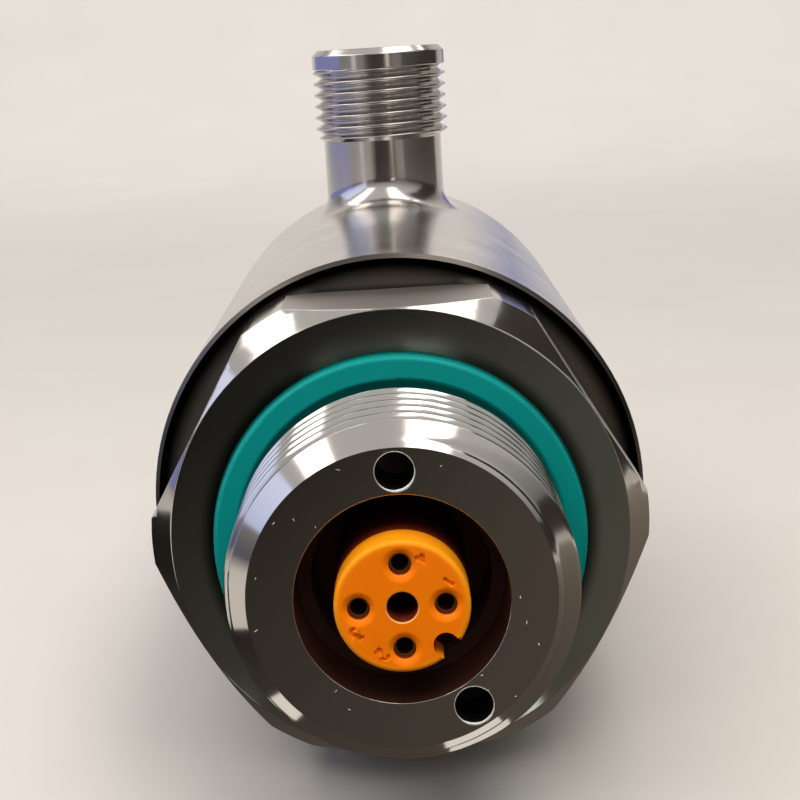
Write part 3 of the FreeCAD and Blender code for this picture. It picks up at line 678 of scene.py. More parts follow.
@dataclass
class Thread:
    """Right-hand screw thread of one size, round the Z axis of its own frame."""

    name: str
    pitch: float
    crest_radius: float
    root_radius: float
    start: float
    end: float
    start_radius: float
    start_slope: float
    end_radius: float
    end_slope: float
    side: ThreadSide = ThreadSide.OUTSIDE
    plain_from: float = 1000.0
    crest_half: float = 0.08
    root_edge: float = 0.42
    edge_round: float = 0.05
    around: int = 193
    rows_per_pitch: int = 22

    def build(self, finish: Material, place: Matrix) -> Piece:
        """Grow the thread.

        A grid is rolled round the axis, and each point's radius follows the thread's profile at its phase,
        trimmed by a cone at each end. The tree works in millimetres, with inputs named as the fields.

        Args:
            finish: its material.
            place: matrix from the thread's own frame to the part's frame.

        Returns:
            The finished piece.
        """
        sizes = {name: value for name, value in vars(self).items() if isinstance(value, float | int)}
        sizes["rows"] = round((self.end - self.start) / self.pitch * sizes.pop("rows_per_pitch"))
        tree, size = geometry_tree(f"screw_thread_{self.side.name.lower()}", sizes)
        grid = add(tree, "GeometryNodeMeshGrid", [1.0, 1.0, size["around"], size["rows"]])
        middle = add(tree, "GeometryNodeInputPosition")
        spot = add(tree, "ShaderNodeSeparateXYZ", [middle]).outputs
        turn = add(tree, MATH, [spot["X"], 0.5], operation="ADD")
        row = add(tree, MATH, [spot["Y"], 0.5], operation="ADD")
        along = add(tree, MAP_RANGE, {"Value": row, "To Min": size["start"], "To Max": size["end"]})
        turns = add(tree, MATH, [along, size["pitch"]], operation="DIVIDE")
        lag = add(tree, MATH, [turns, turn], operation="SUBTRACT")
        phase = add(tree, MATH, [lag], operation="FRACT")
        offset = add(tree, MATH, [phase, 0.5], operation="SUBTRACT")
        away = add(tree, MATH, [offset], operation="ABSOLUTE")
        profile = add(tree, MAP_RANGE, [away, size["crest_half"], size["root_edge"], size["crest_radius"],
                                        size["root_radius"]])
        plain = add(tree, MATH, [along, size["plain_from"]], operation="GREATER_THAN")
        band = add(tree, MATH, [plain, size["crest_radius"]], operation="MULTIPLY")
        radius = add(tree, MATH, [profile, band], operation="MAXIMUM")
        past = add(tree, MATH, [along, size["start"]], operation="SUBTRACT")
        left = add(tree, MATH, [size["end"], along], operation="SUBTRACT")
        for way, end in ((past, "start"), (left, "end")):
            cone = add(tree, MATH, [way, size[f"{end}_slope"], size[f"{end}_radius"]],
                       operation="MULTIPLY_ADD")
            radius = add(tree, MATH, [radius, cone, size["edge_round"]], operation=self.side.value)
        angle = add(tree, MATH, [turn, math.tau], operation="MULTIPLY")
        shares = [add(tree, MATH, [angle], operation=share) for share in ("COSINE", "SINE")]
        across, up = (add(tree, MATH, [radius, share], operation="MULTIPLY") for share in shares)
        point = add(tree, "ShaderNodeCombineXYZ", [across, up, along])
        rolled = add(tree, "GeometryNodeSetPosition", {"Geometry": grid, "Position": point})
        shape = add(tree, "GeometryNodeMergeByDistance", {"Geometry": rolled, "Distance": MARGIN})
        if self.side is ThreadSide.INSIDE:
            shape = add(tree, "GeometryNodeFlipFaces", [shape])
        return grown(self.name, tree, shape, finish, sizes, place @ Matrix.Scale(MM, 4))


@dataclass
class SoftEdges:
    """Copy of a frame node with merged faces and lightly broken edges."""

    node: str
    name: str
    width: float
    segments: int = 2
    sharp_degrees: float = 28.0
    flat_degrees: float = 0.4
    merge: float = 0.0005

    def build(self, finish: Material, left_out: FaceTest | None = None) -> Piece:
        """Copy the node, leave out some faces and break its edges.

        Args:
            finish: material of the copy.
            left_out: test of a face's middle, in millimetres, that is true where another piece stands.

        Returns:
            The finished copy.
        """
        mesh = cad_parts[self.node].data.copy()
        mesh.name = self.name
        with worked(mesh) as work:
            bmesh.ops.remove_doubles(work, verts=work.verts, dist=self.merge * MM)
            if left_out is not None:
                gone = [face for face in work.faces if left_out(face.calc_center_median() / MM)]
                bmesh.ops.delete(work, geom=gone, context="FACES")
            bmesh.ops.dissolve_limit(work, angle_limit=math.radians(self.flat_degrees), verts=work.verts,
                                     edges=work.edges)
        if mesh.has_custom_normals:
            mesh.attributes.remove(mesh.attributes["custom_normal"])
        piece = mesh_object(self.name, mesh, finish)
        bevel = piece.modifiers.new("broken_edges", "BEVEL")
        bevel.width = self.width * MM
        bevel.segments = self.segments
        bevel.limit_method = "ANGLE"
        bevel.angle_limit = math.radians(self.sharp_degrees)
        bevel.use_clamp_overlap = True
        piece.modifiers.new("even_shading", "WEIGHTED_NORMAL").keep_sharp = True
        return baked(piece)


def redress(piece: Piece, finish: Finish, test: FaceTest) -> None:
    """Give some faces of a piece a finish of their own.

    Args:
        piece: finished piece.
        finish: finish of those faces.
        test: test of a face's middle, in millimetres.
    """
    number = len(piece.data.materials)
    piece.data.materials.append(finish.material())
    for face in piece.data.polygons:
        if test(face.center / MM):
            face.material_index = number


def seated(piece: Piece, body: str, slot: str, *nodes: str) -> None:
    """Let a piece ride on its body, and hide the frame nodes that it stands for.

    Args:
        piece: finished piece.
        body: body that it moves with.
        slot: not used.
        nodes: frame nodes that it replaces.
    """
    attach(piece, body)
    if nodes:
        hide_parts(*nodes)
    log.info("piece %s on %s, %d faces", piece.name, body, len(piece.data.polygons))


def off_axis(point: Vector) -> float:
    """Distance of a point from the main axis."""
    return math.hypot(point.x, point.z)


def arc(middle: Span, radius: float, start: float, end: float, steps: int) -> Corners:
    """Points of an arc.

    Args:
        middle: middle of the arc.
        radius: its radius.
        start: angle of its first point in degrees.
        end: angle of its last point in degrees.
        steps: number of spans.

    Returns:
        Its points in order.
    """
    turns = [math.radians(start + (end - start) * step / steps) for step in range(steps + 1)]
    return [(middle[0] + radius * math.cos(turn), middle[1] + radius * math.sin(turn)) for turn in turns]


def circle(middle: Span, radius: float, count: int) -> Corners:
    """Points of a whole circle, as many as counted."""
    return arc(middle, radius, 0, 360, count)[:-1]


def loft(work: Work, rings: list[list[Vector]], closed: bool = False) -> None:
    """Add a skin over successive rings of points to a worked mesh.

    Args:
        work: worked mesh in metres.
        rings: points of each ring in millimetres, equally many.
        closed: whether the last ring joins the first, instead of a flat face on each end.
    """
    loops = [[work.verts.new(point * MM) for point in ring] for ring in rings]
    if not closed:
        work.faces.new(loops[0])
        work.faces.new(loops[-1])
    for index in range(0 if closed else 1, len(loops)):
        before, loop = loops[index - 1], loops[index]
        for step in range(len(loop)):
            work.faces.new((before[step - 1], before[step], loop[step], loop[step - 1]))


def prisms(name: str, outlines: list[Corners], height: float, base: float = 0.0,
           tops: list[Corners] | None = None) -> Mesh:
    """Raise flat outlines by a height, in one mesh.

    Args:
        name: name of the mesh.
        outlines: corners of each outline in millimetres, on the XY plane.
        height: height in millimetres.
        base: level of the lower faces in millimetres.
        tops: corners of the upper faces where they differ, in the same order.

    Returns:
        The new mesh.
    """
    mesh = bpy.data.meshes.new(name)
    with worked(mesh, outward=True) as work:
        for outline, top in zip(outlines, tops or outlines):
            low = [Vector((x, y, base)) for x, y in outline]
            high = [Vector((x, y, base + height)) for x, y in top]
            loft(work, [low, high])
    return mesh


def stroke(line: Corners, width: float) -> Corners:
    """Outline of a pen stroke of even width along a line.

    Args:
        line: points of the line.
        width: width of the stroke.

    Returns:
        Corners of the closed outline.
    """
    points = [Vector(point) for point in line]
    left, right = [], []
    for index, point in enumerate(points):
        before = points[max(index - 1, 0)]
        after = points[min(index + 1, len(points) - 1)]
        ways = [way.normalized() for way in (point - before, after - point) if way.length > 0]
        mean = sum(ways, Vector((0, 0))).normalized()
        side = Vector((-mean.y, mean.x)) * (width / 2 / mean.dot(ways[0]))
        left.append(tuple(point + side))
        right.append(tuple(point - side))
    return left + right[::-1]


# The threaded nose with its socket

@dataclass
class Nose:
    """Process connection: turned nose with its thread, face holes, socket and hexagon."""

    face: float = -13.25
    face_radius: float = 9.0375
    thread_radius: float = 10.4775
    thread_root: float = 9.316
    thread_pitch: float = 1.814
    thread_room: float = 0.05
    chamfer_depth: float = 1.14
    relief_radius: float = 9.1975
    relief_end: float = -0.92
    mouth_radius: float = 6.27
    socket_radius: float = 5.46
    socket_root: float = 5.95
    socket_pitch: float = 1.0
    socket_front: float = -8.45
    socket_back: float = -4.0
    hole_radius: float = 1.15
    hole_circle: float = 7.65
    hole_angles: Span = (90.0, -60.0)
    wall_room: float = 0.1
    hex_half: float = 15.0
    hex_front: float = 2.0
    hex_back: float = 8.5
    edge: float = 0.07

    def on_thread(self, middle: Vector) -> bool:
        """Tell whether a face belongs to the nose thread or the socket thread, which are made apart.

        Args:
            middle: middle of the face in millimetres.

        Returns:
            True for such a face.
        """
        radius = off_axis(middle)
        outside = (radius > self.face_radius - self.thread_room
                   and self.face + MARGIN < middle.y < self.relief_end - MARGIN)
        inside = (abs(radius - self.socket_radius) < self.thread_room
                  and self.socket_front + MARGIN < middle.y < self.socket_back - MARGIN)
        return outside or inside

    def behind_edge(self, middle: Vector) -> bool:
        """Tell whether a face lies behind the broken edge of a hole or of the socket."""
        return self.face + 2 * self.edge < middle.y < self.socket_back

    def is_bored(self, middle: Vector) -> bool:
        """Tell whether a face lies inside a face hole."""
        away = min(math.dist((middle.x, middle.z), place) for place in self.hole_places())
        return self.behind_edge(middle) and away < self.hole_radius + self.wall_room

    def in_socket(self, middle: Vector) -> bool:
        """Tell whether a face is on the socket's wall."""
        return self.behind_edge(middle) and off_axis(middle) < self.mouth_radius + self.wall_room

    def is_flat(self, middle: Vector) -> bool:
        """Tell whether a face is one of the hexagon's six milled flats."""
        within = self.hex_front < middle.y < self.hex_back
        return within and abs(off_axis(middle) - self.hex_half) < self.wall_room

    def on_sealing_face(self, middle: Vector) -> bool:
        """Tell whether a face is on the hexagon's sealing face, at the origin's level."""
        return abs(middle.y) < MARGIN

    def build(self) -> None:
        """Build and seat the turned body, both threads, the hole edges and the lint."""
        steel = NOSE_STEEL.material()
        body = SoftEdges("process_connection", "process_body", self.edge).build(steel, self.on_thread)
        # Painted shade inside the face holes and on the socket's wall
        redress(body, BORED_STEEL, self.is_bored)
        redress(body, SOCKET_STEEL, self.in_socket)
        redress(body, FLAT_STEEL, self.is_flat)
        redress(body, SEALING_STEEL, self.on_sealing_face)
        seated(body, "connection", "turned_stainless", "process_connection")
        chamfer_slope = (self.thread_radius - self.face_radius) / self.chamfer_depth
        thread = Thread("process_thread", self.thread_pitch, self.thread_radius, self.thread_root,
                        -self.relief_end, -self.face, start_radius=self.relief_radius, start_slope=1.0,
                        end_radius=self.face_radius, end_slope=chamfer_slope)
        socket = Thread("socket_thread", self.socket_pitch, self.socket_radius, self.socket_root,
                        -self.socket_back, -self.socket_front, start_radius=self.socket_radius,
                        start_slope=-1.0, end_radius=self.socket_radius, end_slope=-1.0,
                        side=ThreadSide.INSIDE, around=129)
        threads = [thread.build(steel, FACING_NOSE), socket.build(SOCKET_STEEL.material(), FACING_NOSE)]
        for piece in (*threads, self.hole_edges(), self.lint()):
            seated(piece, "connection", "turned_stainless")

    def hole_places(self) -> Corners:
        """Places (x, z) of the two face holes."""
        turns = [math.radians(angle) for angle in self.hole_angles]
        return [(self.hole_circle * math.cos(turn), self.hole_circle * math.sin(turn)) for turn in turns]

    def hole_edges(self) -> Piece:
        """Build the raised broken edge of each face hole, thickest at its lower side.

        Returns:
            One piece with both edges.
        """
        around, section = 72, 8
        thin, thick, ragged, sunk = 0.016, 0.1, 0.4, 0.3
        thickest = math.radians(75)
        wander_radius, wander_level = 3, 0.5
        mesh = bpy.data.meshes.new("hole_edges")
        with worked(mesh, outward=True) as work:
            for x, z in self.hole_places():
                rings = []
                for across, up in circle((0.0, 0.0), 1.0, around):
                    low = max(0.0, across * math.cos(thickest) - up * math.sin(thickest)) ** 2
                    wander = noise.noise(Vector((x + wander_radius * across, z + wander_radius * up,
                                                 wander_level)))
                    bead = (thin + (thick - thin) * low) * (1 + ragged * wander)
                    middle = (self.hole_radius + sunk * bead, self.face + sunk * bead)
                    rings.append([Vector((x + far * across, depth, z + far * up))
                                  for far, depth in circle(middle, bead, section)])
                loft(work, rings, closed=True)
        return mesh_object("hole_edges", mesh, BURR_STEEL.material())

    def lint(self) -> Piece:
        """Scatter a few specks of lint and fine chips over the nose's face.

        Returns:
            The finished piece.
        """
        rim_room, hole_room, socket_edge, per_square_mm = 0.15, 0.25, 6.45, 0.22
        disc_sides, speck_sides, speck_rings = 64, 8, 5
        sizes = {"outer_radius": (self.face_radius - rim_room) * MM, "inner_radius": socket_edge * MM,
                 "density": per_square_mm / (MM * MM), "shortest": Vector((0.06, 0.018, 0.012)) * MM,
                 "longest": Vector((0.16, 0.036, 0.03)) * MM,
                 "hole_room": (self.hole_radius + hole_room) * MM, "seed": 11}
        tree, size = geometry_tree("lint_scatter", sizes)
        disc = add(tree, "GeometryNodeMeshCircle", [disc_sides, size["outer_radius"]], fill_type="NGON")
        points = add(tree, "GeometryNodeDistributePointsOnFaces", {
            "Mesh": disc, "Density": size["density"], "Seed": size["seed"]})
        spot = add(tree, "GeometryNodeInputPosition")
        reach = add(tree, VECTOR_MATH, [spot], operation="LENGTH")
        gone = add(tree, MATH, [reach, size["inner_radius"]], operation="LESS_THAN")
        for x, z in self.hole_places():
            apart = add(tree, VECTOR_MATH, [spot, (x * MM, z * MM, 0.0)], operation="DISTANCE")
            near = add(tree, MATH, [apart, size["hole_room"]], operation="LESS_THAN")
            gone = add(tree, MATH, [gone, near], operation="MAXIMUM")
        full_turn = (0.0, 0.0, math.tau)
        specks = add(tree, "GeometryNodeInstanceOnPoints", {
            "Points": add(tree, "GeometryNodeDeleteGeometry", [points, gone], domain="POINT"),
            "Instance": add(tree, "GeometryNodeMeshUVSphere", [speck_sides, speck_rings, 1.0]),
            "Rotation": add(tree, "FunctionNodeRandomValue", {
                "Min": (0.0, 0.0, 0.0), "Max": full_turn, "Seed": size["seed"]}, data_type="FLOAT_VECTOR"),
            "Scale": add(tree, "FunctionNodeRandomValue", {
                "Min": size["shortest"], "Max": size["longest"], "Seed": size["seed"]},
                data_type="FLOAT_VECTOR")})
        lay = Matrix.Translation((0, self.face * MM, 0)) @ FACING_NOSE
        mirror = Matrix.Scale(-1, 4, Vector((0, 1, 0)))
        piece = grown("nose_lint", tree, specks, LINT.material(), sizes, lay @ mirror)
        piece.data.flip_normals()
        return piece


@dataclass
class Carrier:
    """Contact carrier in orange, with a dark red-brown painted shade deeper than its face and in its holes,
    and sunk contact numbers.
    """

    face: float = -14.55
    lit_depth: float = 2.35
    figure_height: float = 0.74
    figure_turn: float = -132.7
    figure_radius: float = 3.05
    figure_angles: tuple[float, float, float, float] = (27.0, 245.0, 208.5, 66.0)
    figure_depth: float = 0.2
    stroke_mouth: float = 0.27
    stroke_floor: float = 0.12
    overcut: float = 0.01
    centre_hole_radius: float = 0.9
    contact_circle_radius: float = 2.5
    contact_bore_radius: float = 0.65
    mouth_radius: float = 1.15
    mouth_depth: float = 0.25
    mouth_rings: int = 8
    mouth_turns: int = 64
    edge: float = 0.07
    near: float = 0.01
    unbroken_degrees: float = 180.0
    crisp_degrees: float = 40.0

    def strokes(self) -> list[list[Corners]]:
        """Draw the figures 1 to 4 as pen lines.

        Returns:
            The lines of each figure, for a height of 1 about the middle.
        """
        one = [[(0.06, 0.5), (0.06, -0.5)], [(-0.2, 0.26), (0.06, 0.47)]]
        two = [arc((0.0, 0.21), 0.29, 165, -40, 6), [(0.2, 0.0), (-0.3, -0.5)],
               [(-0.32, -0.5), (0.34, -0.5)]]
        three = [arc((-0.02, 0.25), 0.26, 150, -80, 6), arc((-0.02, -0.23), 0.28, 80, -150, 6)]
        four = [[(0.14, -0.5), (0.14, 0.5)], [(0.12, 0.48), (-0.36, -0.18)], [(-0.4, -0.2), (0.36, -0.2)]]
        return [one, two, three, four]

    def cutter(self, line: Corners, angle: float) -> Mesh:
        """Build the cutter of one sunk stroke, with sloping walls.

        Args:
            line: points of the stroke, for a figure height of 1.
            angle: place round the face in degrees, seen from the nose with +X to the right.

        Returns:
            Its mesh in the part's frame.
        """
        sized = [(x * self.figure_height, y * self.figure_height) for x, y in line]
        floor, mouth = stroke(sized, self.stroke_floor), stroke(sized, self.stroke_mouth)
        mesh = prisms("sunk_stroke", [floor], self.figure_depth + self.overcut, -self.figure_depth, [mouth])
        turn = math.radians(angle)
        spot = Vector((math.cos(turn) * self.figure_radius, self.face, math.sin(turn) * self.figure_radius))
        upright = Matrix.Rotation(math.radians(self.figure_turn), 4, "Z")
        mesh.transform(Matrix.Translation(spot * MM) @ FACING_NOSE @ upright)
        return mesh

    def contact_spots(self) -> Corners:
        """Places (x, z) of the four contact bores."""
        out = self.contact_circle_radius
        return [(out, 0.0), (0.0, -out), (-out, 0.0), (0.0, out)]

    def mouth(self, spot: Span) -> Mesh:
        """Build the cutter of the flared mouth of one contact bore.

        Args:
            spot: place (x, z) of the bore.

        Returns:
            Its mesh in the part's frame.
        """
        inner = self.contact_bore_radius - self.overcut
        shares = [ring / self.mouth_rings for ring in range(self.mouth_rings + 1)]
        levels = [(inner + (self.mouth_radius - inner) * share,
                   self.mouth_depth * (1 - share) ** 2 - self.overcut / 2) for share in shares]
        levels.append((self.mouth_radius, -self.overcut))
        mesh = bpy.data.meshes.new("flared_mouth")
        with worked(mesh, outward=True) as work:
            rings = [(circle(spot, radius, self.mouth_turns), depth) for radius, depth in levels]
            loft(work, [[Vector((x, self.face + depth, z)) for x, z in ring] for ring, depth in rings])
        return mesh

    def build(self) -> None:
        """Build and seat the carrier with its flared contact mouths and its four figures."""
        plain = SoftEdges("socket_insert", "contact_carrier", self.edge,
                          sharp_degrees=self.unbroken_degrees)
        piece = plain.build(CARRIER_POLYAMIDE.material())
        cutters = [self.mouth(spot) for spot in self.contact_spots()]
        for lines, angle in zip(self.strokes(), self.figure_angles):
            cutters += [self.cutter(line, angle) for line in lines]
        for mesh in cutters:
            tool = linked(mesh.name, mesh)
            cut = piece.modifiers.new("sunk_form", "BOOLEAN")
            cut.operation = "DIFFERENCE"
            cut.solver = "EXACT"
            cut.object = tool
            baked(piece)
            bpy.data.objects.remove(tool)
        self.break_rim(piece)
        self.paint_depth_shade(piece)
        piece.data.shade_smooth()
        piece.modifiers.new("even_shading", "WEIGHTED_NORMAL").keep_sharp = True
        piece.data.set_sharp_from_angle(angle=math.radians(self.crisp_degrees))
        seated(baked(piece), "connection", "orange_carrier", "socket_insert")

    def break_rim(self, piece: Piece) -> None:
        """Break the front edge of the centre hole, and give the bevel a pale painted highlight.

        Args:
            piece: carrier in one colour, with sharp rims.
        """
        highlight_slot = len(piece.data.materials)
        piece.data.materials.append(EDGE_HIGHLIGHT_POLYAMIDE.material())
        with worked(piece.data) as work:
            points = {vert for vert in work.verts if abs(vert.co.y / MM - self.face) < self.near
                      and abs(off_axis(vert.co) / MM - self.centre_hole_radius) < self.near}
            rim = [edge for edge in work.edges if points.issuperset(edge.verts)]
            bmesh.ops.bevel(work, geom=rim, offset=self.edge * MM, segments=1, profile=0.5, affect="EDGES",
                            material=highlight_slot)

    def paint_depth_shade(self, piece: Piece) -> None:
        """Cut the carrier's mesh at a depth behind its face, and give what lies deeper a dark painted
        shade.

        Args:
            piece: carrier in one colour.
        """
        shade_from = self.face + self.lit_depth
        with worked(piece.data) as work:
            bmesh.ops.bisect_plane(work, geom=work.verts[:] + work.edges[:] + work.faces[:], dist=MICRON,
                                   plane_co=Vector((0, shade_from, 0)) * MM, plane_no=Vector((0, 1, 0)))
        # Painted shade: faces deeper than the lit depth, and the hole walls, turn dark red-brown
        redress(piece, DEPTH_SHADE_POLYAMIDE, lambda middle: middle.y > shade_from or self.in_hole(middle))

    def in_hole(self, middle: Vector) -> bool:
        """Tell whether a face is on the wall of one of the five holes, which get the dark painted shade.

        Args:
            middle: middle of the face in millimetres.

        Returns:
            True for such a face.
        """
        depth = middle.y - self.face
        away = min(math.dist((middle.x, middle.z), spot) for spot in self.contact_spots())
        in_bore = away < self.contact_bore_radius + self.near and depth > self.mouth_depth + self.near
        return in_bore or (off_axis(middle) < self.centre_hole_radius + self.near and depth > 2 * self.edge)


# The housing with its plug stub

@dataclass
class Housing:
    """Round body with the plug stub on its side."""

    radius: float = 17.25
    front: float = 9.95
    gap_depth: float = 0.02
    rim_chamfer: float = 0.3
    round_room: float = 0.02
    plug_axis: float = 52.4
    bore_radius: float = 4.3
    waist_radius: float = 5.35
    thread_radius: float = 6.0
    thread_root: float = 5.387
    thread_pitch: float = 1.0
    thread_start: float = 22.9
    thread_run_in: float = 0.4
    top: float = 31.0
    end_radius: float = 5.5
    plain_band: float = 1.7
    stub_from: float = 17.6
    edge: float = 0.045

    def on_thread(self, middle: Vector) -> bool:
        """Tell whether a face belongs to the stub's thread, which is made apart.

        Args:
            middle: middle of the face in millimetres.

        Returns:
            True for such a face.
        """
        radius = math.hypot(middle.x, middle.y - self.plug_axis)
        outside = (self.bore_radius + self.waist_radius) / 2
        return radius > outside and self.thread_start + MARGIN < middle.z < self.top - MARGIN

    def in_gap(self, middle: Vector) -> bool:
        """Tell whether a face is on the housing's end, in the gap behind the hexagon."""
        return middle.y < self.front + self.gap_depth

    def on_rim(self, middle: Vector) -> bool:
        """Tell whether a face is on the housing's broken front rim."""
        inner = self.radius - self.rim_chamfer
        return middle.y < self.front + self.rim_chamfer and off_axis(middle) > inner

    def true_round(self, shell: Piece) -> None:
        """Give the round side its exact normals, so that long thin faces don't show in its shine.

        Args:
            shell: finished housing.
        """
        mesh, facing = shell.data, 0.9
        normals = [corner.vector.copy() for corner in mesh.corner_normals]
        for face in mesh.polygons:
            spots = [mesh.vertices[number].co for number in face.vertices]
            ways = [Vector((spot.x, 0, spot.z)) for spot in spots]
            round_off = max(abs(way.length / MM - self.radius) for way in ways)
            if round_off < self.round_room and face.normal.dot(ways[0].normalized()) > facing:
                for corner, way in zip(face.loop_indices, ways):
                    normals[corner] = way.normalized()
        mesh.normals_split_custom_set(normals)

    def build(self) -> None:
        """Build and seat the housing and the stub's thread."""
        steel = BODY_STEEL.material()
        shell = SoftEdges("housing", "housing_shell", self.edge).build(steel, self.on_thread)
        self.true_round(shell)
        redress(shell, STUB_STEEL, lambda middle: middle.z > self.stub_from)
        # Painted shade on the housing's broken front rim
        redress(shell, RIM_STEEL, self.on_rim)
        # Painted shade on the end face in the gap behind the hexagon
        redress(shell, GAP_STEEL, self.in_gap)
        seated(shell, "housing", "housing_stainless", "housing")
        run_in = (self.thread_radius - self.waist_radius) / self.thread_run_in
        thread = Thread("plug_thread", self.thread_pitch, self.thread_radius, self.thread_root,
                        self.thread_start, self.top, start_radius=self.waist_radius, start_slope=run_in,
                        end_radius=self.end_radius, end_slope=1.0,
                        plain_from=self.top - self.plain_band, around=129)
        place = Matrix.Translation((0, self.plug_axis * MM, 0))
        seated(thread.build(STUB_STEEL.material(), place), "housing", "housing_stainless")


# The display head

@dataclass
class DisplayHead:
    """Slanted head with its bezel, window, figures, lamps and buttons."""

    centre: float = 57.15
    slope: float = 25.0
    block_depth: float = -2.2
    block_up: float = 3.48
    figure_count: int = 4
    figure_height: float = 6.0
    figure_width: float = 3.1
    figure_pitch: float = 4.75
    figure_lean: float = 0.14
    row_shift: float = -0.3
    bar: float = 0.72
    bar_gap: float = 0.12
    bar_proud: float = 0.05
    point_across: float = 0.85
    point_up: float = 0.1
    point_radius: float = 0.36
    point_sides: int = 12
    button_spacing: float = 7.5
    button_up: float = -9.228
    button_proud: float = 0.6
    mark: float = 0.95
    mark_proud: float = 0.05
    edge: float = 0.12

    def lay(self, depth: float) -> Matrix:
        """Matrix from the head's own frame (across, up, out) at one depth to the part's frame.

        Args:
            depth: depth along the outward normal in millimetres.

        Returns:
            The placing matrix, for meshes in metres.
        """
        tilt = math.radians(self.slope)
        up = Vector((0, math.sin(tilt), math.cos(tilt)))
        out = Vector((0, math.cos(tilt), -math.sin(tilt)))
        matrix = Matrix((Vector((-1, 0, 0)), up, out)).transposed().to_4x4()
        matrix.translation = (Vector((0, self.centre, 0)) + out * depth) * MM
        return matrix

    def bar_outline(self, reach: float) -> Corners:
        """Outline of a level bar with pointed ends, from half its length."""
        half, inner = self.bar / 2, reach - self.bar / 2
        return [(-reach, 0.0), (-inner, half), (inner, half), (reach, 0.0), (inner, -half), (-inner, -half)]

    def figure(self) -> list[Corners]:
        """Outlines of one seven-bar figure with its point, leaning a little.

        Returns:
            The outlines in the head's own frame, centred.
        """
        half_width, quarter = self.figure_width / 2, self.figure_height / 4
        level = self.bar_outline(half_width - self.bar_gap)
        upright = [(y, x) for x, y in self.bar_outline(quarter - self.bar_gap)]
        bars = [(level, 0, up) for up in (-2, 0, 2)]
        bars += [(upright, across, up) for across in (-1, 1) for up in (-1, 1)]
        outlines = [[(x + across * half_width, y + up * quarter) for x, y in bar]
                    for bar, across, up in bars]
        point = (half_width + self.point_across, self.point_up - self.figure_height / 2)
        outlines.append(circle(point, self.point_radius, self.point_sides))
        return [[(x + self.figure_lean * y, y) for x, y in outline] for outline in outlines]

    def figures(self) -> Piece:
        """Set the figures in a row on the display block's face.

        Returns:
            The finished row.
        """
        first = self.row_shift - self.figure_pitch * (self.figure_count - 1) / 2
        sizes = {"count": self.figure_count, "first": Vector((first, self.block_up, 0)) * MM,
                 "step": Vector((self.figure_pitch, 0, 0)) * MM}
        tree, size = geometry_tree("figure_row", sizes)
        row = add(tree, "GeometryNodeMeshLine", [size["count"], size["first"], size["step"]])
        digits = add(tree, "GeometryNodeInstanceOnPoints", {"Points": row, "Instance": size["Geometry"]})
        piece = grown("display_figures", tree, digits, FIGURE_FILL.material(), sizes,
                      self.lay(self.block_depth), prisms("figure", self.figure(), self.bar_proud))
        piece.data.shade_flat()
        return piece

    def marks(self) -> dict[str, list[Corners]]:
        """Draw the mark on each button.

        Returns:
            Outlines of each mark by the button's name, for a half width of 1.
        """
        arrow = [(-1.0, -0.55), (1.0, -0.55), (0.0, 0.75)]
        bar = [(-0.8, -0.2), (0.8, -0.2), (0.8, 0.2), (-0.8, 0.2)]
        bars = [[(x, y + shift) for x, y in bar] for shift in (-0.45, 0.45)]
        return {"set_button": bars, "down_button": [[(x, -y) for x, y in arrow]], "up_button": [arrow]}

    def build(self) -> None:
        """Build and seat the bezel, the figures, and the buttons with their marks."""
        bezel = SoftEdges("display_bezel", "head_bezel", self.edge).build(BEZEL_POLYESTER.material())
        seated(bezel, "housing", "black_moulding", "display_bezel")
        seated(self.figures(), "housing", "display_block")
        for place, (button, outlines) in enumerate(self.marks().items(), start=-1):
            cap = SoftEdges(button, button.replace("button", "cap"), 2 * self.edge, segments=3)
            seated(cap.build(BUTTON_PLASTIC.material()), button, "button_grey", button)
            across = place * self.button_spacing
            sized = [[(x * self.mark + across, y * self.mark + self.button_up) for x, y in outline]
                     for outline in outlines]
            mesh = prisms(button, sized, self.mark_proud)
            mark = mesh_object(button.replace("button", "mark"), mesh, MARK_INK.material())
            mesh.transform(self.lay(self.button_proud))
            mesh.shade_flat()
            seated(mark, button, "button_grey")


# Frame nodes that keep their own shape

def numbered(name: str, count: int) -> list[str]:
    """Names of several like nodes, numbered from 1."""
    return [f"{name}_{number}" for number in range(1, count + 1)]


def dress_frame() -> None:
    """Give every frame node its finish."""
    dressed = {
        CONTACT_GOLD: [*numbered("contact", 4), *numbered("plug_pin", 4)],
        SPRING_STEEL: ["snap_ring", "stop_pin", *numbered("carrier_screw", 2),
                       *numbered("display_screw", 2)],
        SEAL_RUBBER: ["socket_gasket", "swivel_o_ring", "plug_gasket", "bezel_gasket"],
        BOARD_LAMINATE: ["socket_board", "plug_board", "main_board", "display_board"],
        CONNECTOR_NYLON: ["lead_socket", "lead_header", "flex_socket", "board_link"],
        CHIP_EPOXY: ["controller_chip", *numbered("switch", 3)],
        GUIDE_ACRYLIC: numbered("status_led", 2),
        SEAL_ELASTOMER: ["process_seal"],
        RING_BRASS: ["socket_lock_ring"],
        SLIDE_ACETAL: ["slide_washer"],
        BEZEL_POLYESTER: ["plug_insert", "display_bezel"],
        CARRIER_ABS: ["board_carrier"],
        CHOKE_FERRITE: ["power_coil"],
        LEAD_SHEATH: ["sensor_lead"],
        FLEX_FILM: ["plug_flex"],
        FIGURE_BLOCK: ["display_module"],
        PANE_ACRYLIC: ["display_window"],
        NOSE_STEEL: ["process_connection"],
        BODY_STEEL: ["housing"],
        CARRIER_POLYAMIDE: ["socket_insert"],
        BUTTON_PLASTIC: ["set_button", "down_button", "up_button"]}
    for finish, nodes in dressed.items():
        for node in nodes:
            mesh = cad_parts[node].data
            mesh.materials.clear()
            mesh.materials.append(finish.material())
            log.info("frame node %s in %s", node, finish.name)


# Floor, backdrop, lamps and camera

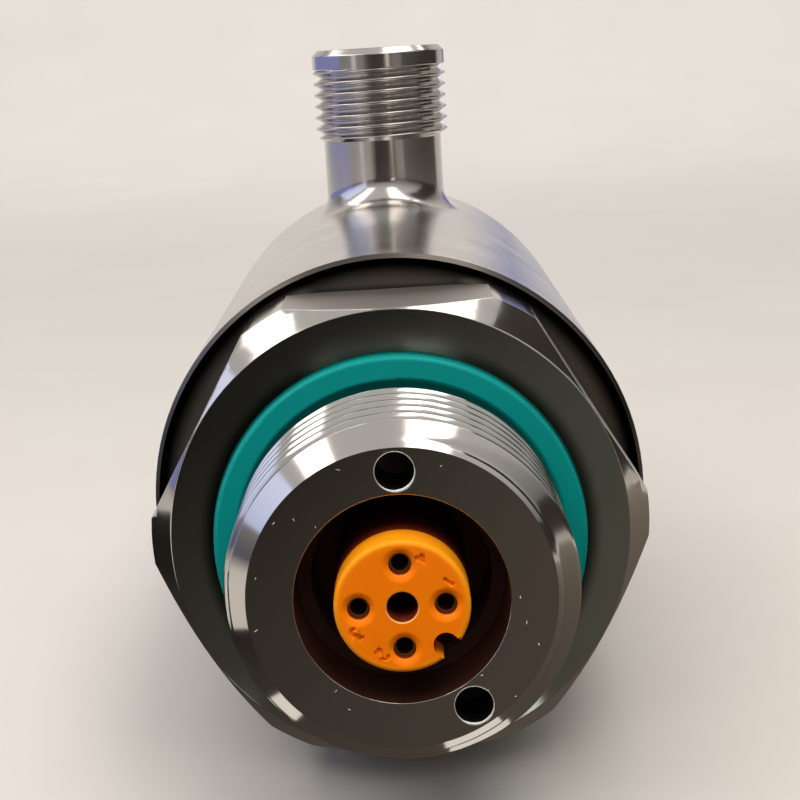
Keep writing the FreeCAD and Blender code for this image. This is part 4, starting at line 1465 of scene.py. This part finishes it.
@dataclass
class Studio:
    """Pale floor and backdrop, soft lamps, and the camera at the photograph's angle."""

    floor_level: float = -17.3
    floor_half: float = 4000.0
    backdrop_distance: float = 900.0
    backdrop_height: float = 900.0
    sweep_radius: float = 350.0
    sweep_steps: int = 24
    sheet_gap: float = 0.1
    sky_colour: str = "#FBF8F5"
    sky_heights: Span = (-0.2, 0.8)
    sky_strengths: Span = (0.05, 0.72)
    camera_place: Spot = (1.158, -108.87, 31.46)
    camera_down: float = 11.644
    camera_side: float = -0.408
    camera_roll: float = 0.335
    object_lean: float = 3.7
    focal_pixels: float = 1739.0
    picture_pixels: float = 800.0
    sensor: float = 36.0
    nearest: float = 5.0

    def sheet(self, name: str, corners: list[Spot], faces: list[tuple[int, ...]], finish: Finish) -> Piece:
        """Build a staged sheet.

        Args:
            name: name of the sheet.
            corners: its corners in millimetres.
            faces: corner numbers of each face.
            finish: its finish.

        Returns:
            The staged object.
        """
        mesh = bpy.data.meshes.new(name)
        mesh.from_pydata([Vector(corner) * MM for corner in corners], [], faces)
        sheet = mesh_object(name, mesh, finish.material())
        return sheet

    def flag(self, corners: list[Spot], finish: Glow) -> None:
        """Sheet that only shows in reflections, as a studio flag or a bounce card does.

        Args:
            corners: its corners in millimetres.
            finish: its glow, which also names it.
        """
        sheet = self.sheet(finish.name, corners, [tuple(range(len(corners)))], finish)
        sheet.visible_camera = False
        sheet.visible_diffuse = False
        sheet.visible_shadow = False

    def panel(self, name: str, place: Spot, facing: Spot, size: Span, radiance: float, colour: str,
              mirrored: bool = True) -> None:
        """Soft rectangular lamp.

        Args:
            name: name of the lamp.
            place: its middle in millimetres.
            facing: direction that it shines in.
            size: width and length in millimetres.
            radiance: brightness of its face, where 1 is white.
            colour: sRGB colour of its light.
            mirrored: whether polished metal shows it.
        """
        light = bpy.data.lights.new(name, "AREA")
        light.shape = "RECTANGLE"
        light.size, light.size_y = size[0] * MM, size[1] * MM
        light.energy = radiance * math.pi * light.size * light.size_y
        light.color = linear(colour)[:3]
        lamp = linked(name, light)
        lamp.location = Vector(place) * MM
        lamp.rotation_mode = "QUATERNION"
        lamp.rotation_quaternion = Vector(facing).to_track_quat("-Z", "Y")
        lamp.visible_camera = False
        lamp.visible_glossy = mirrored

    def cyclorama(self) -> None:
        """Pale floor that curves up into the backdrop without an edge."""
        reach, level, radius = self.backdrop_distance, self.floor_level, self.sweep_radius
        bend = arc((reach - radius, level + radius), radius, -90, 0, self.sweep_steps)
        line = [(-self.floor_half, level), *bend, (reach, level + self.backdrop_height)]
        corners = [(side * self.floor_half, y, z) for y, z in line for side in (-1, 1)]
        strips = [(2 * row, 2 * row + 1, 2 * row + 3, 2 * row + 2) for row in range(len(line) - 1)]
        self.sheet("cyclorama", corners, strips, SWEEP_PAPER)

    def sky(self) -> None:
        """Soft room light: pale overhead, fading to dark below the horizon."""
        world = bpy.data.worlds.new("studio")
        bpy.context.scene.world = world
        world.use_nodes = True
        tree = world.node_tree
        tree.nodes.clear()
        direction = add(tree, "ShaderNodeTexCoord").outputs["Generated"]
        height = add(tree, "ShaderNodeSeparateXYZ", [direction]).outputs["Z"]
        level = add(tree, MAP_RANGE, [height, *self.sky_heights, *self.sky_strengths],
                    interpolation_type="SMOOTHSTEP")
        light = add(tree, "ShaderNodeBackground", [self.sky_colour, level])
        add(tree, "ShaderNodeOutputWorld", [light])

    def camera(self) -> None:
        """Camera fitted to the photographed circles, leaning with the held object."""
        down, side, roll, lean = (math.radians(value) for value in (
            self.camera_down, self.camera_side, self.camera_roll, self.object_lean))
        back = Vector((math.sin(side) * math.cos(down), -math.cos(side) * math.cos(down), math.sin(down)))
        right = (-back).cross(Vector((0, 0, 1))).normalized()
        up = right.cross(-back)
        rolled_right = right * math.cos(roll) + up * math.sin(roll)
        rolled_up = up * math.cos(roll) - right * math.sin(roll)
        pose = Matrix((rolled_right, rolled_up, back)).transposed()
        matrix = (Matrix.Rotation(lean, 3, "Y") @ pose).to_4x4()
        matrix.translation = Vector(self.camera_place) * MM
        lens = bpy.data.cameras.new("camera")
        lens.sensor_width = self.sensor
        lens.lens = self.focal_pixels / self.picture_pixels * self.sensor
        lens.clip_start = self.nearest * MM
        view = linked("camera", lens)
        view.matrix_world = matrix
        bpy.context.scene.camera = view

    def flags(self) -> None:
        """Set up the sheets that polished metal mirrors: a dark table and room, strips and blue sides."""
        low = self.floor_level + self.sheet_gap
        spark = low + self.sheet_gap
        warm, cool, white = "#FFEBD6", "#AEB6FF", "#FFF8EE"
        table = [(-130, -420), (160, -420), (160, 60), (-160, 60), (-160, -2), (-42, -12)]
        roof = [(160, 10), (300, 10), (300, 250), (160, 250)]
        self.flag(lying(table, low), Glow("dark_table", warm, 0.1, (0.0017, 0.00036, 0.0)))
        self.flag(standing((-200, -420), (200, -420), low, 160), Glow("dark_front", warm, 0.05))
        self.flag(standing((300, -300), (300, 250), low, 60), Glow("dark_right", warm, 0.05))
        self.flag(standing((300, 10), (300, 250), 60, 240), Glow("dark_high", warm, 0.05))
        self.flag(lying(roof, 240), Glow("dark_roof", warm, 0.05))
        self.flag(standing((95, -340), (135, -340), 10, 90), Glow("strip_right", "#FFF3DF", 1.6))
        self.flag(standing((-310, -250), (-270, -290), 0, 90), Glow("strip_left", "#FFF8F0", 0.9))
        self.flag(standing((-330, -70), (-330, 480), 0, 70), Glow("blue_left", cool, 0.65))
        self.flag(standing((110, 700), (420, 700), low, 150), Glow("blue_right", cool, 0.5))
        for name, start, end in (("spark_left", -17.8, -12.7), ("spark_low", 3.1, 9.5)):
            plan = [(start, -15), (end, -15), (end, -10), (start, -10)]
            self.flag(lying(plan, spark), Glow(name, white, 1.2))

    def build(self) -> None:
        """Set up the whole studio."""
        bpy.context.scene.view_settings.view_transform = "Standard"
        self.sky()
        self.cyclorama()
        self.panel("window_right", (90, -60, 300), (0, 0, -1), (120, 420), 3.0, "#FFF8EE")
        self.panel("window_left", (-234, -70, 300), (0, 0, -1), (126, 460), 3.0, "#FFF8EE")
        self.panel("side_window", (-320, -80, 158), (1, 0, 0), (480, 166), 1.0, "#BFCFFF")
        self.panel("front_soft", (0, -186, 246), (0, 172, -246), (300, 120), 5.0, "#FFFAF2", mirrored=False)
        self.panel("backdrop_wash", (0, 480, 700), (0, 0.62, -0.78), (1400, 200), 4.6, "#FFFDFA")
        self.flags()
        self.camera()


def lying(plan: Corners, level: float) -> list[Spot]:
    """Corners of a level sheet, from its corners in plan and its height."""
    return [(x, y, level) for x, y in plan]


def standing(start: Span, end: Span, low: float, high: float) -> list[Spot]:
    """Corners of an upright sheet between two points in plan and two heights."""
    return [(*start, low), (*end, low), (*end, high), (*start, high)]


def main() -> None:
    """Dress the frame nodes, then build every sub-assembly in order."""
    logging.basicConfig(level=logging.INFO, format="%(message)s")
    dress_frame()
    for assembly in (Nose, Carrier, Housing, DisplayHead, Studio):
        assembly().build()


if __name__ == "__main__":
    main()
